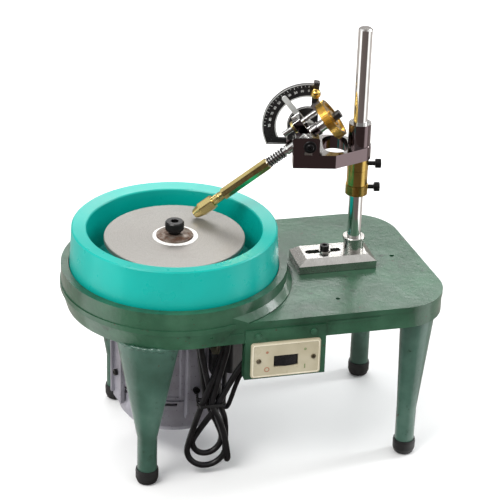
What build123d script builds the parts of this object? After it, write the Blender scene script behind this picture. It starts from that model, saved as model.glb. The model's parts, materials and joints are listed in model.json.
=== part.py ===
from build123d import *
import os
from math import atan2, cos, degrees, pi, radians, sin, tan

os.makedirs("parts", exist_ok=True)

# Bench faceting machine: a cast table on four legs carries a vertical motor with a
# 150 mm lap in a splash bowl, and a mast that holds the faceting head over the lap.
# Millimetres, +Z up, front is -Y, origin on the ground under the middle of the table.

# ---- driving dimensions -------------------------------------------------------------
LAP_DIA = 150.0
LAP_THICK = 5.0
LAP_TOP = 245.7
TABLE_LENGTH = 402.0
TABLE_HALF_WIDTH = 115.0
TABLE_TOP = 196.5
TABLE_PLATE = 8.0
SKIRT_BOTTOM = 172.0
SKIRT_WALL = 7.0
CORNER_R = 52.0
LOBE_R = 122.0
LOBE_SKIRT_R = 115.6
SEAM_Z = 191.0
RING_TOP = 215.8
BOWL_RIM = 258.3
BOWL_RIM_R = 109.2
BOWL_LIP_R = 93.1
LEG_TUBE_R = 10.7
FOOT_HEIGHT = 17.0
MAST_DIA = 15.0
MAST_TOP = 467.2
MAST_TO_LAP = 199.5
BASE_SIZE = (86.5, 44.0, 15.0)
ARM_YAW = -12.4
ARM_BOTTOM = 321.0
ARM_THICK = 15.0
PIVOT_OUT = 54.2
PIVOT_Z = 345.5
QUILL_SLOPE = 38.6
QUILL_TIP = 152.8
WHEEL_DIA = 44.0
WHEEL_TEETH = 72
WHEEL_BACK = 34.0
WHEEL_THICK = 9.0
ROD_R = 4.0
SHAFT_R = 6.0
CORD_DIA = 6.5

RUNNING = 0.05
GAP = 0.3

LAP_X = LOBE_R - TABLE_LENGTH / 2
MAST_X = LAP_X + MAST_TO_LAP
BASE_X = MAST_X - 22.75
CLAMP_X = MAST_X - 32.5
PLATE_BOTTOM = TABLE_TOP - TABLE_PLATE
MAST_R = MAST_DIA / 2
BASE_TOP = TABLE_TOP + GAP + BASE_SIZE[2]

NODES = {}


def add(name, *solids):
    NODES[name] = solids[0] if len(solids) == 1 else Compound(children=list(solids))


# ---- small builders -----------------------------------------------------------------
def rod(radius, z0, z1, x=0.0, y=0.0):
    """Upright cylinder from height z0 to z1."""
    return Pos(x, y, z0) * Cylinder(radius, z1 - z0, align=(Align.CENTER, Align.CENTER, Align.MIN))


def tube(outer, inner, z0, z1, x=0.0, y=0.0):
    return rod(outer, z0, z1, x, y) - rod(inner, z0 - 1, z1 + 1, x, y)


def cone(r0, r1, z0, z1, x=0.0, y=0.0):
    """Upright cone frustum, radius r0 at z0 and r1 at z1."""
    return Pos(x, y, z0) * Cone(r0, r1, z1 - z0, align=(Align.CENTER, Align.CENTER, Align.MIN))


def block(x0, x1, y0, y1, z0, z1):
    centre = ((x0 + x1) / 2, (y0 + y1) / 2, (z0 + z1) / 2)
    return Pos(*centre) * Box(x1 - x0, y1 - y0, z1 - z0)


def bar_y(radius, y0, y1, x, z):
    """Cylinder along Y."""
    return Pos(x, y0, z) * Rot(-90, 0, 0) * Cylinder(
        radius, y1 - y0, align=(Align.CENTER, Align.CENTER, Align.MIN)
    )


def prism(points, z0, z1):
    return Pos(0, 0, z0) * extrude(make_face(Polyline(*points, close=True)), z1 - z0)


def turned(points, x=0.0, y=0.0):
    """Solid of revolution about the upright axis from (radius, height) points."""
    profile = make_face(Polyline(*[(r, 0, z) for r, z in points], close=True))
    return Pos(x, y, 0) * revolve(profile, Axis.Z)


def hexagon(across_flats, z0, z1, x=0.0, y=0.0, sides=6):
    radius = across_flats / 2 / cos(pi / sides)
    return Pos(x, y, z0) * extrude(RegularPolygon(radius, sides), z1 - z0)


def around(count, start, make):
    """One solid for each of count equal steps round the upright axis."""
    return [Rot(0, 0, start + 360 * i / count) * make for i in range(count)]


def notched(radius, inner, z0, z1, teeth, depth):
    """Ring with V notches along its rim, one of them centred on +X."""
    rim = []
    for i in range(teeth):
        for share, r in ((-0.32, radius), (0.0, radius - depth), (0.32, radius)):
            a = 2 * pi * (i + share) / teeth
            rim.append((r * cos(a), r * sin(a)))
    return prism(rim, z0, z1) - rod(inner, z0 - 1, z1 + 1)


# ---- table, bowl and legs -----------------------------------------------------------
def table_outline(lobe_radius, inset=0.0):
    """Round lobe under the lap, and a long plate with two large corners."""
    r = CORNER_R - inset
    half = TABLE_HALF_WIDTH - inset
    front = (TABLE_LENGTH / 2 - CORNER_R, CORNER_R - TABLE_HALF_WIDTH)
    rear = (front[0] - 8.5, -front[1])
    lean = atan2(rear[1] - front[1], rear[0] - front[0]) - pi / 2
    out = (r * cos(lean), r * sin(lean))
    plate = Polygon(
        (LAP_X, -half),
        (front[0], -half),
        (front[0] + out[0], front[1] + out[1]),
        (rear[0] + out[0], rear[1] + out[1]),
        (rear[0], half),
        (LAP_X, half),
        align=None,
    )
    corners = [Pos(*c) * Circle(r) for c in (front, rear)]
    return plate + corners[0] + corners[1] + Pos(LAP_X, 0) * Circle(lobe_radius)


def slab(sketch, z0, z1):
    return Pos(0, 0, z0) * extrude(sketch, z1 - z0)


def table_casting():
    """Plate with a drafted skirt, and the drum wall round the bowl."""
    body = slab(table_outline(LOBE_R), SEAM_Z, TABLE_TOP)
    body += slab(table_outline(LOBE_SKIRT_R, SKIRT_INSET), SKIRT_BOTTOM, SEAM_Z)
    body += cone(LOBE_SKIRT_R, LOBE_R - 1.0, SKIRT_BOTTOM, SEAM_Z, LAP_X)
    inner = LOBE_SKIRT_R - SKIRT_WALL
    body -= slab(table_outline(inner, SKIRT_WALL), SKIRT_BOTTOM - 1, PLATE_BOTTOM)
    drum = tube(DRUM_R, 112.6, TABLE_TOP, RING_TOP, LAP_X)
    # sloped root where the drum meets the plate, then a shallow groove round it
    root = cone(DRUM_R + 6.0, DRUM_R, TABLE_TOP, TABLE_TOP + 7.0, LAP_X)
    root -= rod(DRUM_R - 1.0, TABLE_TOP - 1, RING_TOP, LAP_X)
    root &= slab(table_outline(DRUM_R), TABLE_TOP - 0.5, RING_TOP)
    body = body + drum + root
    body -= tube(DRUM_R + 7.4, DRUM_R + 6.0, TABLE_TOP - 1.2, TABLE_TOP + 1, LAP_X)
    # ledges cast on the front skirt, mounting holes and the spindle opening
    for x0, x1, z in ((-44.0, -29.0, 181.5), (62.0, 118.0, 186.0)):
        body += block(x0, x1, 0.2 - TABLE_HALF_WIDTH, 2 - TABLE_HALF_WIDTH, z, z + 2.8)
    body -= rod(16.0, PLATE_BOTTOM - 1, TABLE_TOP + 1, LAP_X)
    for x, y in TABLE_HOLES:
        body -= rod(2.5, PLATE_BOTTOM - 1, TABLE_TOP + 1, x, y)
    body -= rod(CLAMP_R + RUNNING, PLATE_BOTTOM - 1, TABLE_TOP + 1, CLAMP_X)
    for x, y in LEG_STUDS + STRAP_BOLTS:
        body -= rod(3.0, PLATE_BOTTOM - 1, TABLE_TOP - 2, x, y)
    return body


DRUM_R = LOBE_R - 1.2
SKIRT_INSET = 0.8
TABLE_HOLES = ((167.0, 3.0), (80.5, -81.6))
CLAMP_R = 3.0

# foot centre, top centre, stud, half width and half depth of the top, turn of the top
LEGS = {
    "leg_front_left": ((-125.4, -89.8), (-125.4, -89.8), (-121.5, -82.0), 34.0, 17.5, -27.0),
    "leg_rear_left": ((-125.4, 89.8), (-125.4, 89.8), (-121.5, 82.0), 34.0, 17.5, 27.0),
    "leg_front_right": ((164.2, -86.4), (170.0, -84.0), (166.0, -83.0), 21.0, 17.0, 34.0),
    "leg_rear_right": ((164.2, 86.4), (162.0, 82.0), (161.0, 80.0), 21.0, 17.0, -38.0),
}
LEG_NECK = 56.0
LEG_STUDS = [spec[2] for spec in LEGS.values()]


def leg(foot, top, stud, half_w, half_d, turn):
    """Cast leg: flared oval head tapering to a round shank."""
    long_axis = (cos(radians(turn)), sin(radians(turn)), 0)
    sections = []
    for (x, y), z, half in (
        (foot, 4.0, (LEG_TUBE_R, LEG_TUBE_R - 0.05)),
        (foot, LEG_NECK, (LEG_TUBE_R, LEG_TUBE_R - 0.05)),
        (top, SKIRT_BOTTOM, (half_w, half_d)),
    ):
        sections.append(Plane(origin=(x, y, z), x_dir=long_axis) * Ellipse(*half))
    body = loft(sections, ruled=True) + rod(12.0, SKIRT_BOTTOM - 1, PLATE_BOTTOM, *stud)
    return body - rod(3.0, PLATE_BOTTOM - 20, PLATE_BOTTOM + 1, *stud)


def legs():
    for name, spec in LEGS.items():
        add(name, leg(*spec))
    feet = []
    side = [(8.0, 0), (10.6, 1.6), (12.2, 6.0), (12.4, 14.0), (11.9, FOOT_HEIGHT)]
    for foot in (spec[0] for spec in LEGS.values()):
        cap = turned([(0, 0)] + side + [(0, FOOT_HEIGHT)], *foot)
        feet.append(cap - rod(LEG_TUBE_R, 4.0, FOOT_HEIGHT + 1, *foot))
    add("rubber_feet", *feet)


BOWL_FLOOR = 206.0
PIPE_R = 22.0


def splash_bowl():
    """Thick-walled bowl with a raised pipe that keeps water off the spindle."""
    return turned(
        [
            (14.0, TABLE_TOP), (112.3, TABLE_TOP), (112.3, 205.0), (BOWL_RIM_R, BOWL_RIM - 1.2),
            (BOWL_RIM_R - 1.4, BOWL_RIM), (BOWL_LIP_R + 1.0, BOWL_RIM - 2.0), (BOWL_LIP_R, BOWL_RIM - 3.2),
            (90.5, BOWL_FLOOR + 4), (86.5, BOWL_FLOOR), (PIPE_R, BOWL_FLOOR), (PIPE_R - 1.5, 229.0),
            (14.0, 229.0),
        ],
        LAP_X,
    )


# ---- motor and lap spindle ----------------------------------------------------------
MOTOR_R = 56.0
MOTOR_TOP = 168.0
MOTOR_FOOT = 80.0
FAN_BOTTOM = 34.0
STRAP_ANGLE = -80.0
STRAP_IN = 60.6
STRAP_OUT = 65.2
STRAP_BOTTOM = 58.0
STRAP_SCREW_Z = 92.0


def polar(radius, angle, x0=0.0):
    return (x0 + radius * cos(radians(angle)), radius * sin(radians(angle)))


STRAP_BOLTS = [polar(STRAP_OUT + 7.5, STRAP_ANGLE + 90 * i, LAP_X) for i in range(4)]


def motor():
    housing = tube(MOTOR_R, 47.0, MOTOR_FOOT, MOTOR_TOP)
    for pad in around(4, STRAP_ANGLE, block(50.0, STRAP_IN, -15.0, 15.0, MOTOR_FOOT, MOTOR_TOP)):
        housing += pad
    housing -= rod(47.0, MOTOR_FOOT - 1, MOTOR_TOP + 1)
    hole = Pos(STRAP_IN - 6, 0, STRAP_SCREW_Z) * Rot(0, 90, 0) * rod(2.5, 0, 10)
    for cut in around(4, STRAP_ANGLE, hole):
        housing -= cut
    add("motor_housing", Pos(LAP_X, 0, 0) * housing)

    core = tube(47.0, 30.0, 100.0, 146.0)
    windings = tube(44.0, 31.0, 146.0, 156.0) + tube(44.0, 31.0, 90.0, 100.0)
    add("stator", Pos(LAP_X, 0, 0) * (core + windings))

    upper = turned([(13.0, MOTOR_TOP), (57.5, MOTOR_TOP), (57.5, 172.0), (26.0, 178.0), (13.0, 178.0)])
    lower = turned([(13.0, 84.0), (46.9, 84.0), (46.9, 80.0), (57.5, 80.0), (57.5, 76.0), (13.0, 76.0)])
    add("motor_end_shields", Pos(LAP_X, 0, 0) * upper, Pos(LAP_X, 0, 0) * lower)
    rings = [tube(13.0, SHAFT_R, z, z + 8.0, LAP_X) for z in (76.0, 169.0)]
    add("motor_bearings", *rings)


def motor_straps():
    """Four cast angle pieces that hang the motor from the underside of the table."""
    web = block(STRAP_IN, STRAP_OUT, -11.0, 11.0, STRAP_BOTTOM, PLATE_BOTTOM)
    rib = block(STRAP_OUT, STRAP_OUT + 3.5, -11.0, -8.0, STRAP_BOTTOM + 6, PLATE_BOTTOM)
    foot = block(STRAP_OUT, STRAP_OUT + 14.0, -11.0, 11.0, PLATE_BOTTOM - 5, PLATE_BOTTOM)
    piece = web + rib + foot
    piece -= rod(3.0, PLATE_BOTTOM - 6, PLATE_BOTTOM + 1, STRAP_OUT + 7.5)
    piece -= Pos(STRAP_IN - 1, 0, STRAP_SCREW_Z) * Rot(0, 90, 0) * rod(2.5, 0, 8)
    add("motor_straps", *[Pos(LAP_X, 0, 0) * p for p in around(4, STRAP_ANGLE, piece)])


def motor_bolts():
    """M6 bolts up into the table, M5 cap screws into the motor, and the leg studs."""
    up = hexagon(10.0, -4.0, 0.0) + rod(3.0, 0.0, 11.0)
    bolts = [Pos(x, y, PLATE_BOTTOM - 5) * up for x, y in STRAP_BOLTS]
    cap = rod(3.6, 0.0, 3.6) - hexagon(4.0, 1.6, 4.0) + rod(2.5, -9.0, 0.0)
    screw = Pos(STRAP_OUT, 0, STRAP_SCREW_Z) * Rot(0, 90, 0) * cap
    bolts += [Pos(LAP_X, 0, 0) * s for s in around(4, STRAP_ANGLE, screw)]
    add("motor_bolts", *bolts)
    studs = [rod(3.0, PLATE_BOTTOM - 20, TABLE_TOP - 2, x, y) for x, y in LEG_STUDS]
    add("leg_studs", *studs)


def fan_cover():
    shell = turned(
        [
            (0, FAN_BOTTOM), (44.0, FAN_BOTTOM), (54.0, FAN_BOTTOM + 3), (59.0, FAN_BOTTOM + 10),
            (60.0, FAN_BOTTOM + 18), (60.0, 75.7), (58.0, 75.7), (58.0, FAN_BOTTOM + 18.5),
            (57.0, FAN_BOTTOM + 11), (52.5, FAN_BOTTOM + 5), (43.5, FAN_BOTTOM + 2.2),
            (0, FAN_BOTTOM + 2.2),
        ]
    )
    for radius in (18.0, 27.0, 36.0):
        for i in range(8):
            slot = Pos(*polar(radius, 45 * i), FAN_BOTTOM) * Rot(0, 0, 45 * i) * Box(4.5, 9.0, 8.0)
            shell -= slot
    for i in range(12):
        shell -= Rot(0, 0, 30 * i + 15) * block(55.0, 62.0, -8.0, 8.0, 70.5, 74.0)
    add("fan_cover", Pos(LAP_X, 0, 0) * shell)


def spindle():
    """Everything that turns with the motor shaft."""
    shaft = rod(SHAFT_R - RUNNING, 46.0, 228.0) + rod(9.5, 178.4, 184.0)
    shaft -= rod(5.0, 215.0, 229.0)
    rotor = tube(29.5, SHAFT_R - 1, 96.0, 150.0)
    add("motor_rotor", Pos(LAP_X, 0, 0) * (shaft + rotor))
    hub = tube(14.0, SHAFT_R - RUNNING, 48.0, 66.0)
    for blade in around(8, 0, block(12.0, 50.0, -1.2, 1.2, 50.0, 64.0)):
        hub += blade
    add("cooling_fan", Pos(LAP_X, 0, 0) * hub)

    lap_under = LAP_TOP - LAP_THICK
    arbor = turned(
        [
            (SHAFT_R - RUNNING, 200.0), (12.0, 200.0), (12.0, 231.0), (30.0, 234.0),
            (30.0, lap_under), (5.0, lap_under), (5.0, 228.0), (SHAFT_R - RUNNING, 228.0),
        ]
    )
    add("arbor_flange", Pos(LAP_X, 0, 0) * arbor)
    disc = turned(
        [
            (5.0, lap_under), (LAP_DIA / 2 - 0.6, lap_under), (LAP_DIA / 2, lap_under + 0.6),
            (LAP_DIA / 2, LAP_TOP - 0.6), (LAP_DIA / 2 - 0.6, LAP_TOP), (5.0, LAP_TOP),
        ]
    )
    add("lap_disc", Pos(LAP_X, 0, 0) * disc)
    seat = LAP_TOP + 3.4
    washer = turned([(5.0, LAP_TOP), (19.5, LAP_TOP), (19.5, LAP_TOP + 1.8), (12.0, seat), (5.0, seat)])
    add("lap_washer", Pos(LAP_X, 0, 0) * washer)
    head = turned(
        [
            (0, seat), (6.4, seat), (7.0, seat + 2.2), (9.6, seat + 4.2), (9.9, seat + 12.6),
            (8.9, seat + 13.8), (0, seat + 13.8),
        ]
    )
    screw = head + rod(5.0, 215.0, seat + 1) - hexagon(8.0, seat + 7.5, seat + 15)
    add("lap_screw", Pos(LAP_X, 0, 0) * screw)


# ---- mast ---------------------------------------------------------------------------
def mast_parts():
    length, width, height = BASE_SIZE
    bottom = TABLE_TOP + GAP
    bevel_z = BASE_TOP - 6.3
    low = block(-length / 2, length / 2, -width / 2, width / 2, bottom, bevel_z)
    wide = Plane(origin=(0, 0, bevel_z)) * Rectangle(length, width)
    narrow = Plane(origin=(0.3, 0, BASE_TOP)) * Rectangle(length - 17.5, width - 12.5)
    body = Pos(BASE_X, 0, 0) * (low + loft([wide, narrow]))
    slot = Pos(CLAMP_X - 1.7, 0, bottom - 1) * extrude(SlotOverall(39.8, SLOT_W), 20)
    body -= slot
    body -= rod(MAST_R, bottom - 1, BASE_TOP + 1, MAST_X)
    add("mast_base", body)
    socket = turned(
        [
            (MAST_R, BASE_TOP), (10.8, BASE_TOP), (10.8, 224.0), (12.0, 224.6), (12.0, 227.2),
            (11.5, 227.8), (MAST_R, 227.8),
        ],
        MAST_X,
    )
    add("mast_socket", socket)
    edge = 1.4
    side = [(0, bottom), (MAST_R, bottom), (MAST_R, MAST_TOP - edge), (MAST_R - edge, MAST_TOP), (0, MAST_TOP)]
    add("mast", turned(side, MAST_X))

    washer = tube(6.6, CLAMP_R + RUNNING, BASE_TOP + GAP / 2, BASE_TOP + 1.4, CLAMP_X)
    bush = tube(SLOT_W / 2 - RUNNING, CLAMP_R + RUNNING, bottom, BASE_TOP + GAP / 2, CLAMP_X)
    add("clamp_bush", washer + bush)
    top = BASE_TOP + 1.4 + GAP / 2
    head = rod(5.0, top, top + 5.6, CLAMP_X) - hexagon(5.0, top + 2.6, top + 6, CLAMP_X)
    add("clamp_screw", head + rod(CLAMP_R, PLATE_BOTTOM, top, CLAMP_X))


SLOT_W = 8.4
COLLAR_LOW = 278.8
COLLAR_MID = 289.9
COLLAR_SEAM = 307.8
THUMB_LOW_Z = 286.3
THUMB_UP_Z = 313.8


def on_arm():
    """Frame of the arm: X points from the lap to the mast and beyond, Y to the back."""
    return Location((MAST_X, 0, 0), (0, 0, ARM_YAW))


def thumb_screw(z, reach):
    """Screw with a round head that points away from the lap."""
    body = rod(2.4, MAST_R + GAP, reach) + rod(4.7, reach, reach + 6.2)
    return on_arm() * Pos(0, 0, z) * Rot(0, 90, 0) * body


def screw_hole(z):
    return on_arm() * Pos(6, 0, z) * Rot(0, 90, 0) * rod(2.4 + RUNNING, 0, 12)


def height_stack():
    """Collars on the mast that carry the arm: lock collar, fine adjuster and top collar."""
    bore = MAST_R + RUNNING
    knurled = Pos(MAST_X, 0, 0) * notched(12.0, bore, COLLAR_LOW, COLLAR_MID, 60, 0.45)
    add("lock_collar", knurled - screw_hole(THUMB_LOW_Z))
    add("lower_thumbscrew", thumb_screw(THUMB_LOW_Z, 18.5))
    sleeve = tube(11.2, 9.55, COLLAR_MID + 2, COLLAR_SEAM - GAP, MAST_X)
    floor = tube(11.2, bore, COLLAR_MID + GAP, COLLAR_MID + 2, MAST_X)
    add("adjuster_sleeve", sleeve + floor)
    ring = tube(11.4, bore, COLLAR_SEAM, ARM_BOTTOM - GAP, MAST_X)
    thread = tube(9.5, bore, COLLAR_MID + 2.4, COLLAR_SEAM, MAST_X)
    add("upper_collar", ring + thread - screw_hole(THUMB_UP_Z))
    add("upper_thumbscrew", thumb_screw(THUMB_UP_Z, 18.5))


# ---- arm ----------------------------------------------------------------------------
FRONT_Y = -32.0
REAR_Y = 24.0
ARM_TOP = ARM_BOTTOM + ARM_THICK
ARM_LEFT = -71.5
EAR_TOP = 355.7
TRUNNION_R = 4.0
DIAL_FRONT = REAR_Y
DIAL_THICK = 3.2
DIAL_R = 48.5


def arm_slab():
    nose = 13.0
    outline = Polygon(
        (ARM_LEFT, FRONT_Y), (-26.4, FRONT_Y), (7.2, -10.8), (8.6, 9.7), (-20.0, REAR_Y),
        (ARM_LEFT - 5.5, REAR_Y), (ARM_LEFT - 5.5, 8.0), (ARM_LEFT, 8.0), align=None,
    )
    body = slab(outline + Circle(nose), ARM_BOTTOM, ARM_TOP)
    body += tube(12.0, MAST_R + RUNNING, ARM_TOP - 1, 361.0)
    body -= rod(MAST_R + RUNNING, ARM_BOTTOM - 1, 362.0)
    body -= block(-90, -44.0, -14.0, 8.0, ARM_BOTTOM - 1, ARM_TOP + 1)
    body -= Pos(-25.5, -0.5, ARM_BOTTOM - 1) * Rot(0, 0, 90) * extrude(SlotOverall(44.0, 27.0), 17)
    for x in DIAL_SCREWS:
        body -= bar_y(1.5, REAR_Y - 5, REAR_Y + 1, x, DIAL_SCREW_Z)
    return on_arm() * body


def pivot_block():
    """Bearing block on the front of the slab, with a blind hole for the trunnion."""
    body = block(-72.0, -43.9, FRONT_Y, -20.0, ARM_TOP, EAR_TOP)
    corner = body.edges().filter_by(Axis.Y).group_by(Axis.Z)[-1]
    body = fillet(corner, 3.0)
    body -= bar_y(TRUNNION_R + RUNNING, -29.0, -19.0, -PIVOT_OUT, PIVOT_Z)
    return on_arm() * body


def dial_corner(inset):
    """Rectangle that cuts the round plate off at its right and lower sides."""
    right, low, far = 11.0 - inset, inset - 21.7, 60.0
    return Pos((right - far) / 2, (low + far) / 2) * Rectangle(far + right, far - low)


def dial_sketch():
    """Quadrant from straight up to level with the lap side, pivot at its origin."""
    bar = 7.4
    window = (Circle(33.7) - Circle(21.8)) & dial_corner(bar)
    return (Circle(DIAL_R) & dial_corner(0.0)) - window


def on_dial(y):
    """Plane across the tilt axis at depth y, its X towards the mast and its Y up."""
    return Plane(origin=(-PIVOT_OUT, y, PIVOT_Z), x_dir=(1, 0, 0), z_dir=(0, -1, 0))


def angle_dial():
    back = DIAL_FRONT + DIAL_THICK
    body = extrude(on_dial(back) * dial_sketch(), DIAL_THICK)
    body -= bar_y(TRUNNION_R + RUNNING, DIAL_FRONT - 1, back + 1, -PIVOT_OUT, PIVOT_Z)
    for x in DIAL_SCREWS:
        body -= bar_y(1.5, DIAL_FRONT - 1, back + 1, x, DIAL_SCREW_Z)
    return on_arm() * body


DIAL_SCREWS = (-66.0, -46.0)
DIAL_SCREW_Z = 328.0


def dial_screws():
    back = DIAL_FRONT + DIAL_THICK
    bodies = []
    for x in DIAL_SCREWS:
        head = bar_y(2.8, back, back + 1.8, x, DIAL_SCREW_Z)
        bodies.append(on_arm() * (head + bar_y(1.5, REAR_Y - 5, back, x, DIAL_SCREW_Z)))
    return bodies


STOP_ANGLE = 9.5


def angle_stop():
    """Slider that straddles the dial band and stops the pointer, with its brass knob."""
    sector = Circle(DIAL_R + 3.0) - Circle(35.5)
    sector &= Pos(0, 40) * Rectangle(6.0, 60)
    front, back = DIAL_FRONT - GAP, DIAL_FRONT + DIAL_THICK + GAP
    jaw = extrude(on_dial(front) * sector, 2.6) + extrude(on_dial(back + 2.2) * sector, 2.2)
    rim = (Circle(DIAL_R + 3.0) - Circle(DIAL_R + GAP)) & Pos(0, 50) * Rectangle(6.0, 20)
    jaw += extrude(on_dial(back) * rim, back - front)
    turn = Pos(-PIVOT_OUT, 0, PIVOT_Z) * Rot(0, STOP_ANGLE, 0) * Pos(PIVOT_OUT, 0, -PIVOT_Z)
    knob_y = front - 2.6
    knob = bar_y(4.3, knob_y - 7.5, knob_y - 1.5, -PIVOT_OUT, PIVOT_Z + 41)
    knob += bar_y(2.4, knob_y - 1.6, knob_y, -PIVOT_OUT, PIVOT_Z + 41)
    edges = knob.edges().filter_by(GeomType.CIRCLE).group_by(Axis.Y)[0]
    knob = fillet(edges, 2.6)
    add("angle_stop", on_arm() * turn * jaw)
    add("stop_knob", on_arm() * turn * knob)


# ---- faceting head ------------------------------------------------------------------
def on_quill():
    """Frame of the quill at its pivot: Z runs down to the tip, X up, Y to the back."""
    return on_arm() * Location((-PIVOT_OUT, 0, PIVOT_Z), (0, -(90 + QUILL_SLOPE), 0))


PLUNGER_UP = 16.5
CARRIER = (-7.6, 23.5, -9.0, 9.0, -5.0, 4.4)


def quill_carrier():
    body = block(*CARRIER)
    body = chamfer(body.edges().filter_by(Axis.Z), 0.8)
    body += bar_y(TRUNNION_R, -28.5, -8.0, 0, 0)
    body += bar_y(TRUNNION_R, 8.0, DIAL_FRONT + DIAL_THICK + 3.0, 0, 0)
    body += tube(7.4, ROD_R + RUNNING, -14.0, 12.5)
    body -= rod(ROD_R + RUNNING, -40, 40)
    body -= rod(3.0 + RUNNING, -10, 10, PLUNGER_UP)
    return on_quill() * body


def angle_pointer():
    """Flat pointer square to the quill, on the rear trunnion just before the dial."""
    front = DIAL_FRONT - GAP - 2.0
    half = [(0, 3.2), (30, 2.4), (38, 1.5), (47.5, 0)]
    blade = Polygon(*[(x, -y) for x, y in half], *half[-2::-1], align=None)
    outline = Circle(8.0) + blade
    plate = Plane(origin=(0, front, 0), x_dir=(1, 0, 0), z_dir=(0, 1, 0)) * outline
    body = extrude(plate, 2.0) - bar_y(TRUNNION_R, 0, 40, 0, 0)
    hub = bar_y(8.0, 18.0, front, 0, 0) - bar_y(TRUNNION_R, 0, 40, 0, 0)
    return on_quill() * (body + hub)


def plunger():
    """Pull pin whose blade locks one notch of the index wheel, and its collar."""
    rim = WHEEL_DIA / 2
    body = rod(3.0, -22.5, 20.5, PLUNGER_UP)
    body += block(PLUNGER_UP, rim + 3.4, -1.6, 1.6, -24.0, -21.5)
    body += block(rim + 0.4, rim + 3.4, -1.2, 1.2, -WHEEL_BACK + 2, -21.5)
    body += block(rim - 0.35, rim + 1.0, -0.2, 0.2, -WHEEL_BACK + 2, -WHEEL_BACK + 7)
    add("index_plunger", on_quill() * body)
    collar = tube(6.7, 3.0, CARRIER[5] + GAP, CARRIER[5] + 3.5, PLUNGER_UP)
    add("plunger_collar", on_quill() * collar)


SLEEVE_TOP = 54.0
SLEEVE_END = 113.3
NUT_TOP = 126.8
COLLET_LEN = 24.0


def quill():
    near = -WHEEL_BACK
    spindle_rod = rod(ROD_R, near - 2.0, SLEEVE_END - 8.0) + rod(5.4, 27.2, 29.2)
    spindle_rod += rod(6.2, near + WHEEL_THICK, -14.0 - GAP) + rod(6.2, 12.5 + GAP, 17.0)
    add("quill_spindle", on_quill() * spindle_rod)
    wheel = notched(WHEEL_DIA / 2, ROD_R, near, near + WHEEL_THICK, WHEEL_TEETH, 0.85)
    wheel -= tube(18.0, 9.0, near - 1, near + 1.6)
    add("index_wheel", on_quill() * wheel)
    knob = rod(4.6, near - 7.5, near) - rod(ROD_R, near - 2.0, near + 1)
    add("wheel_knob", on_quill() * knob)
    turns = (SLEEVE_TOP - 29.2 - 1.4) / SPRING_PITCH
    coil = Helix(SPRING_PITCH, turns * SPRING_PITCH, 4.75)
    wire = Plane(coil @ 0, z_dir=coil % 0) * Circle(0.5)
    add("quill_spring", on_quill() * Pos(0, 0, 29.9) * sweep(wire, coil, is_frenet=True))

    sleeve = hexagon(12.6, SLEEVE_TOP, SLEEVE_END, sides=8)
    sleeve += rod(4.8, SLEEVE_END - 1, NUT_TOP + 12)
    sleeve -= rod(ROD_R + RUNNING, SLEEVE_TOP - 1, SLEEVE_END + 2)
    sleeve -= rod(3.7, SLEEVE_END, NUT_TOP + 13)
    add("quill_sleeve", on_quill() * sleeve)

    collet = rod(3.65, QUILL_TIP - COLLET_LEN - 8, QUILL_TIP - 12)
    collet += cone(3.65, 4.1, QUILL_TIP - 12, QUILL_TIP)
    collet -= rod(DOP_R, QUILL_TIP - COLLET_LEN, QUILL_TIP + 1)
    add("collet", on_quill() * collet)
    nut = hexagon(14.4, NUT_TOP + GAP, 143.5) & rod(7.9, NUT_TOP, 160)
    nut += cone(7.2, 5.1, 143.5, QUILL_TIP - 1.2)
    nut -= rod(4.8 + RUNNING, NUT_TOP - 1, NUT_TOP + 12.5)
    nut -= cone(3.95, 4.45, NUT_TOP + 12, QUILL_TIP + 1)
    add("collet_nut", on_quill() * nut)


DOP_R = 3.0
SPRING_PITCH = 2.05


# ---- switch -------------------------------------------------------------------------
SWITCH_X = 15.5
SWITCH_Z = 151.8
PANEL_BACK = SKIRT_INSET - TABLE_HALF_WIDTH
PANEL_FRONT = PANEL_BACK - 1.6
PLATE_FRONT = PANEL_FRONT - 3.2
BOX_BACK = -90.0
BOX_TOP = 168.0
ROCKER_Y = PLATE_FRONT + 1.6
ROCKER_AXIS_Y = PLATE_FRONT + 8.5


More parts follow.
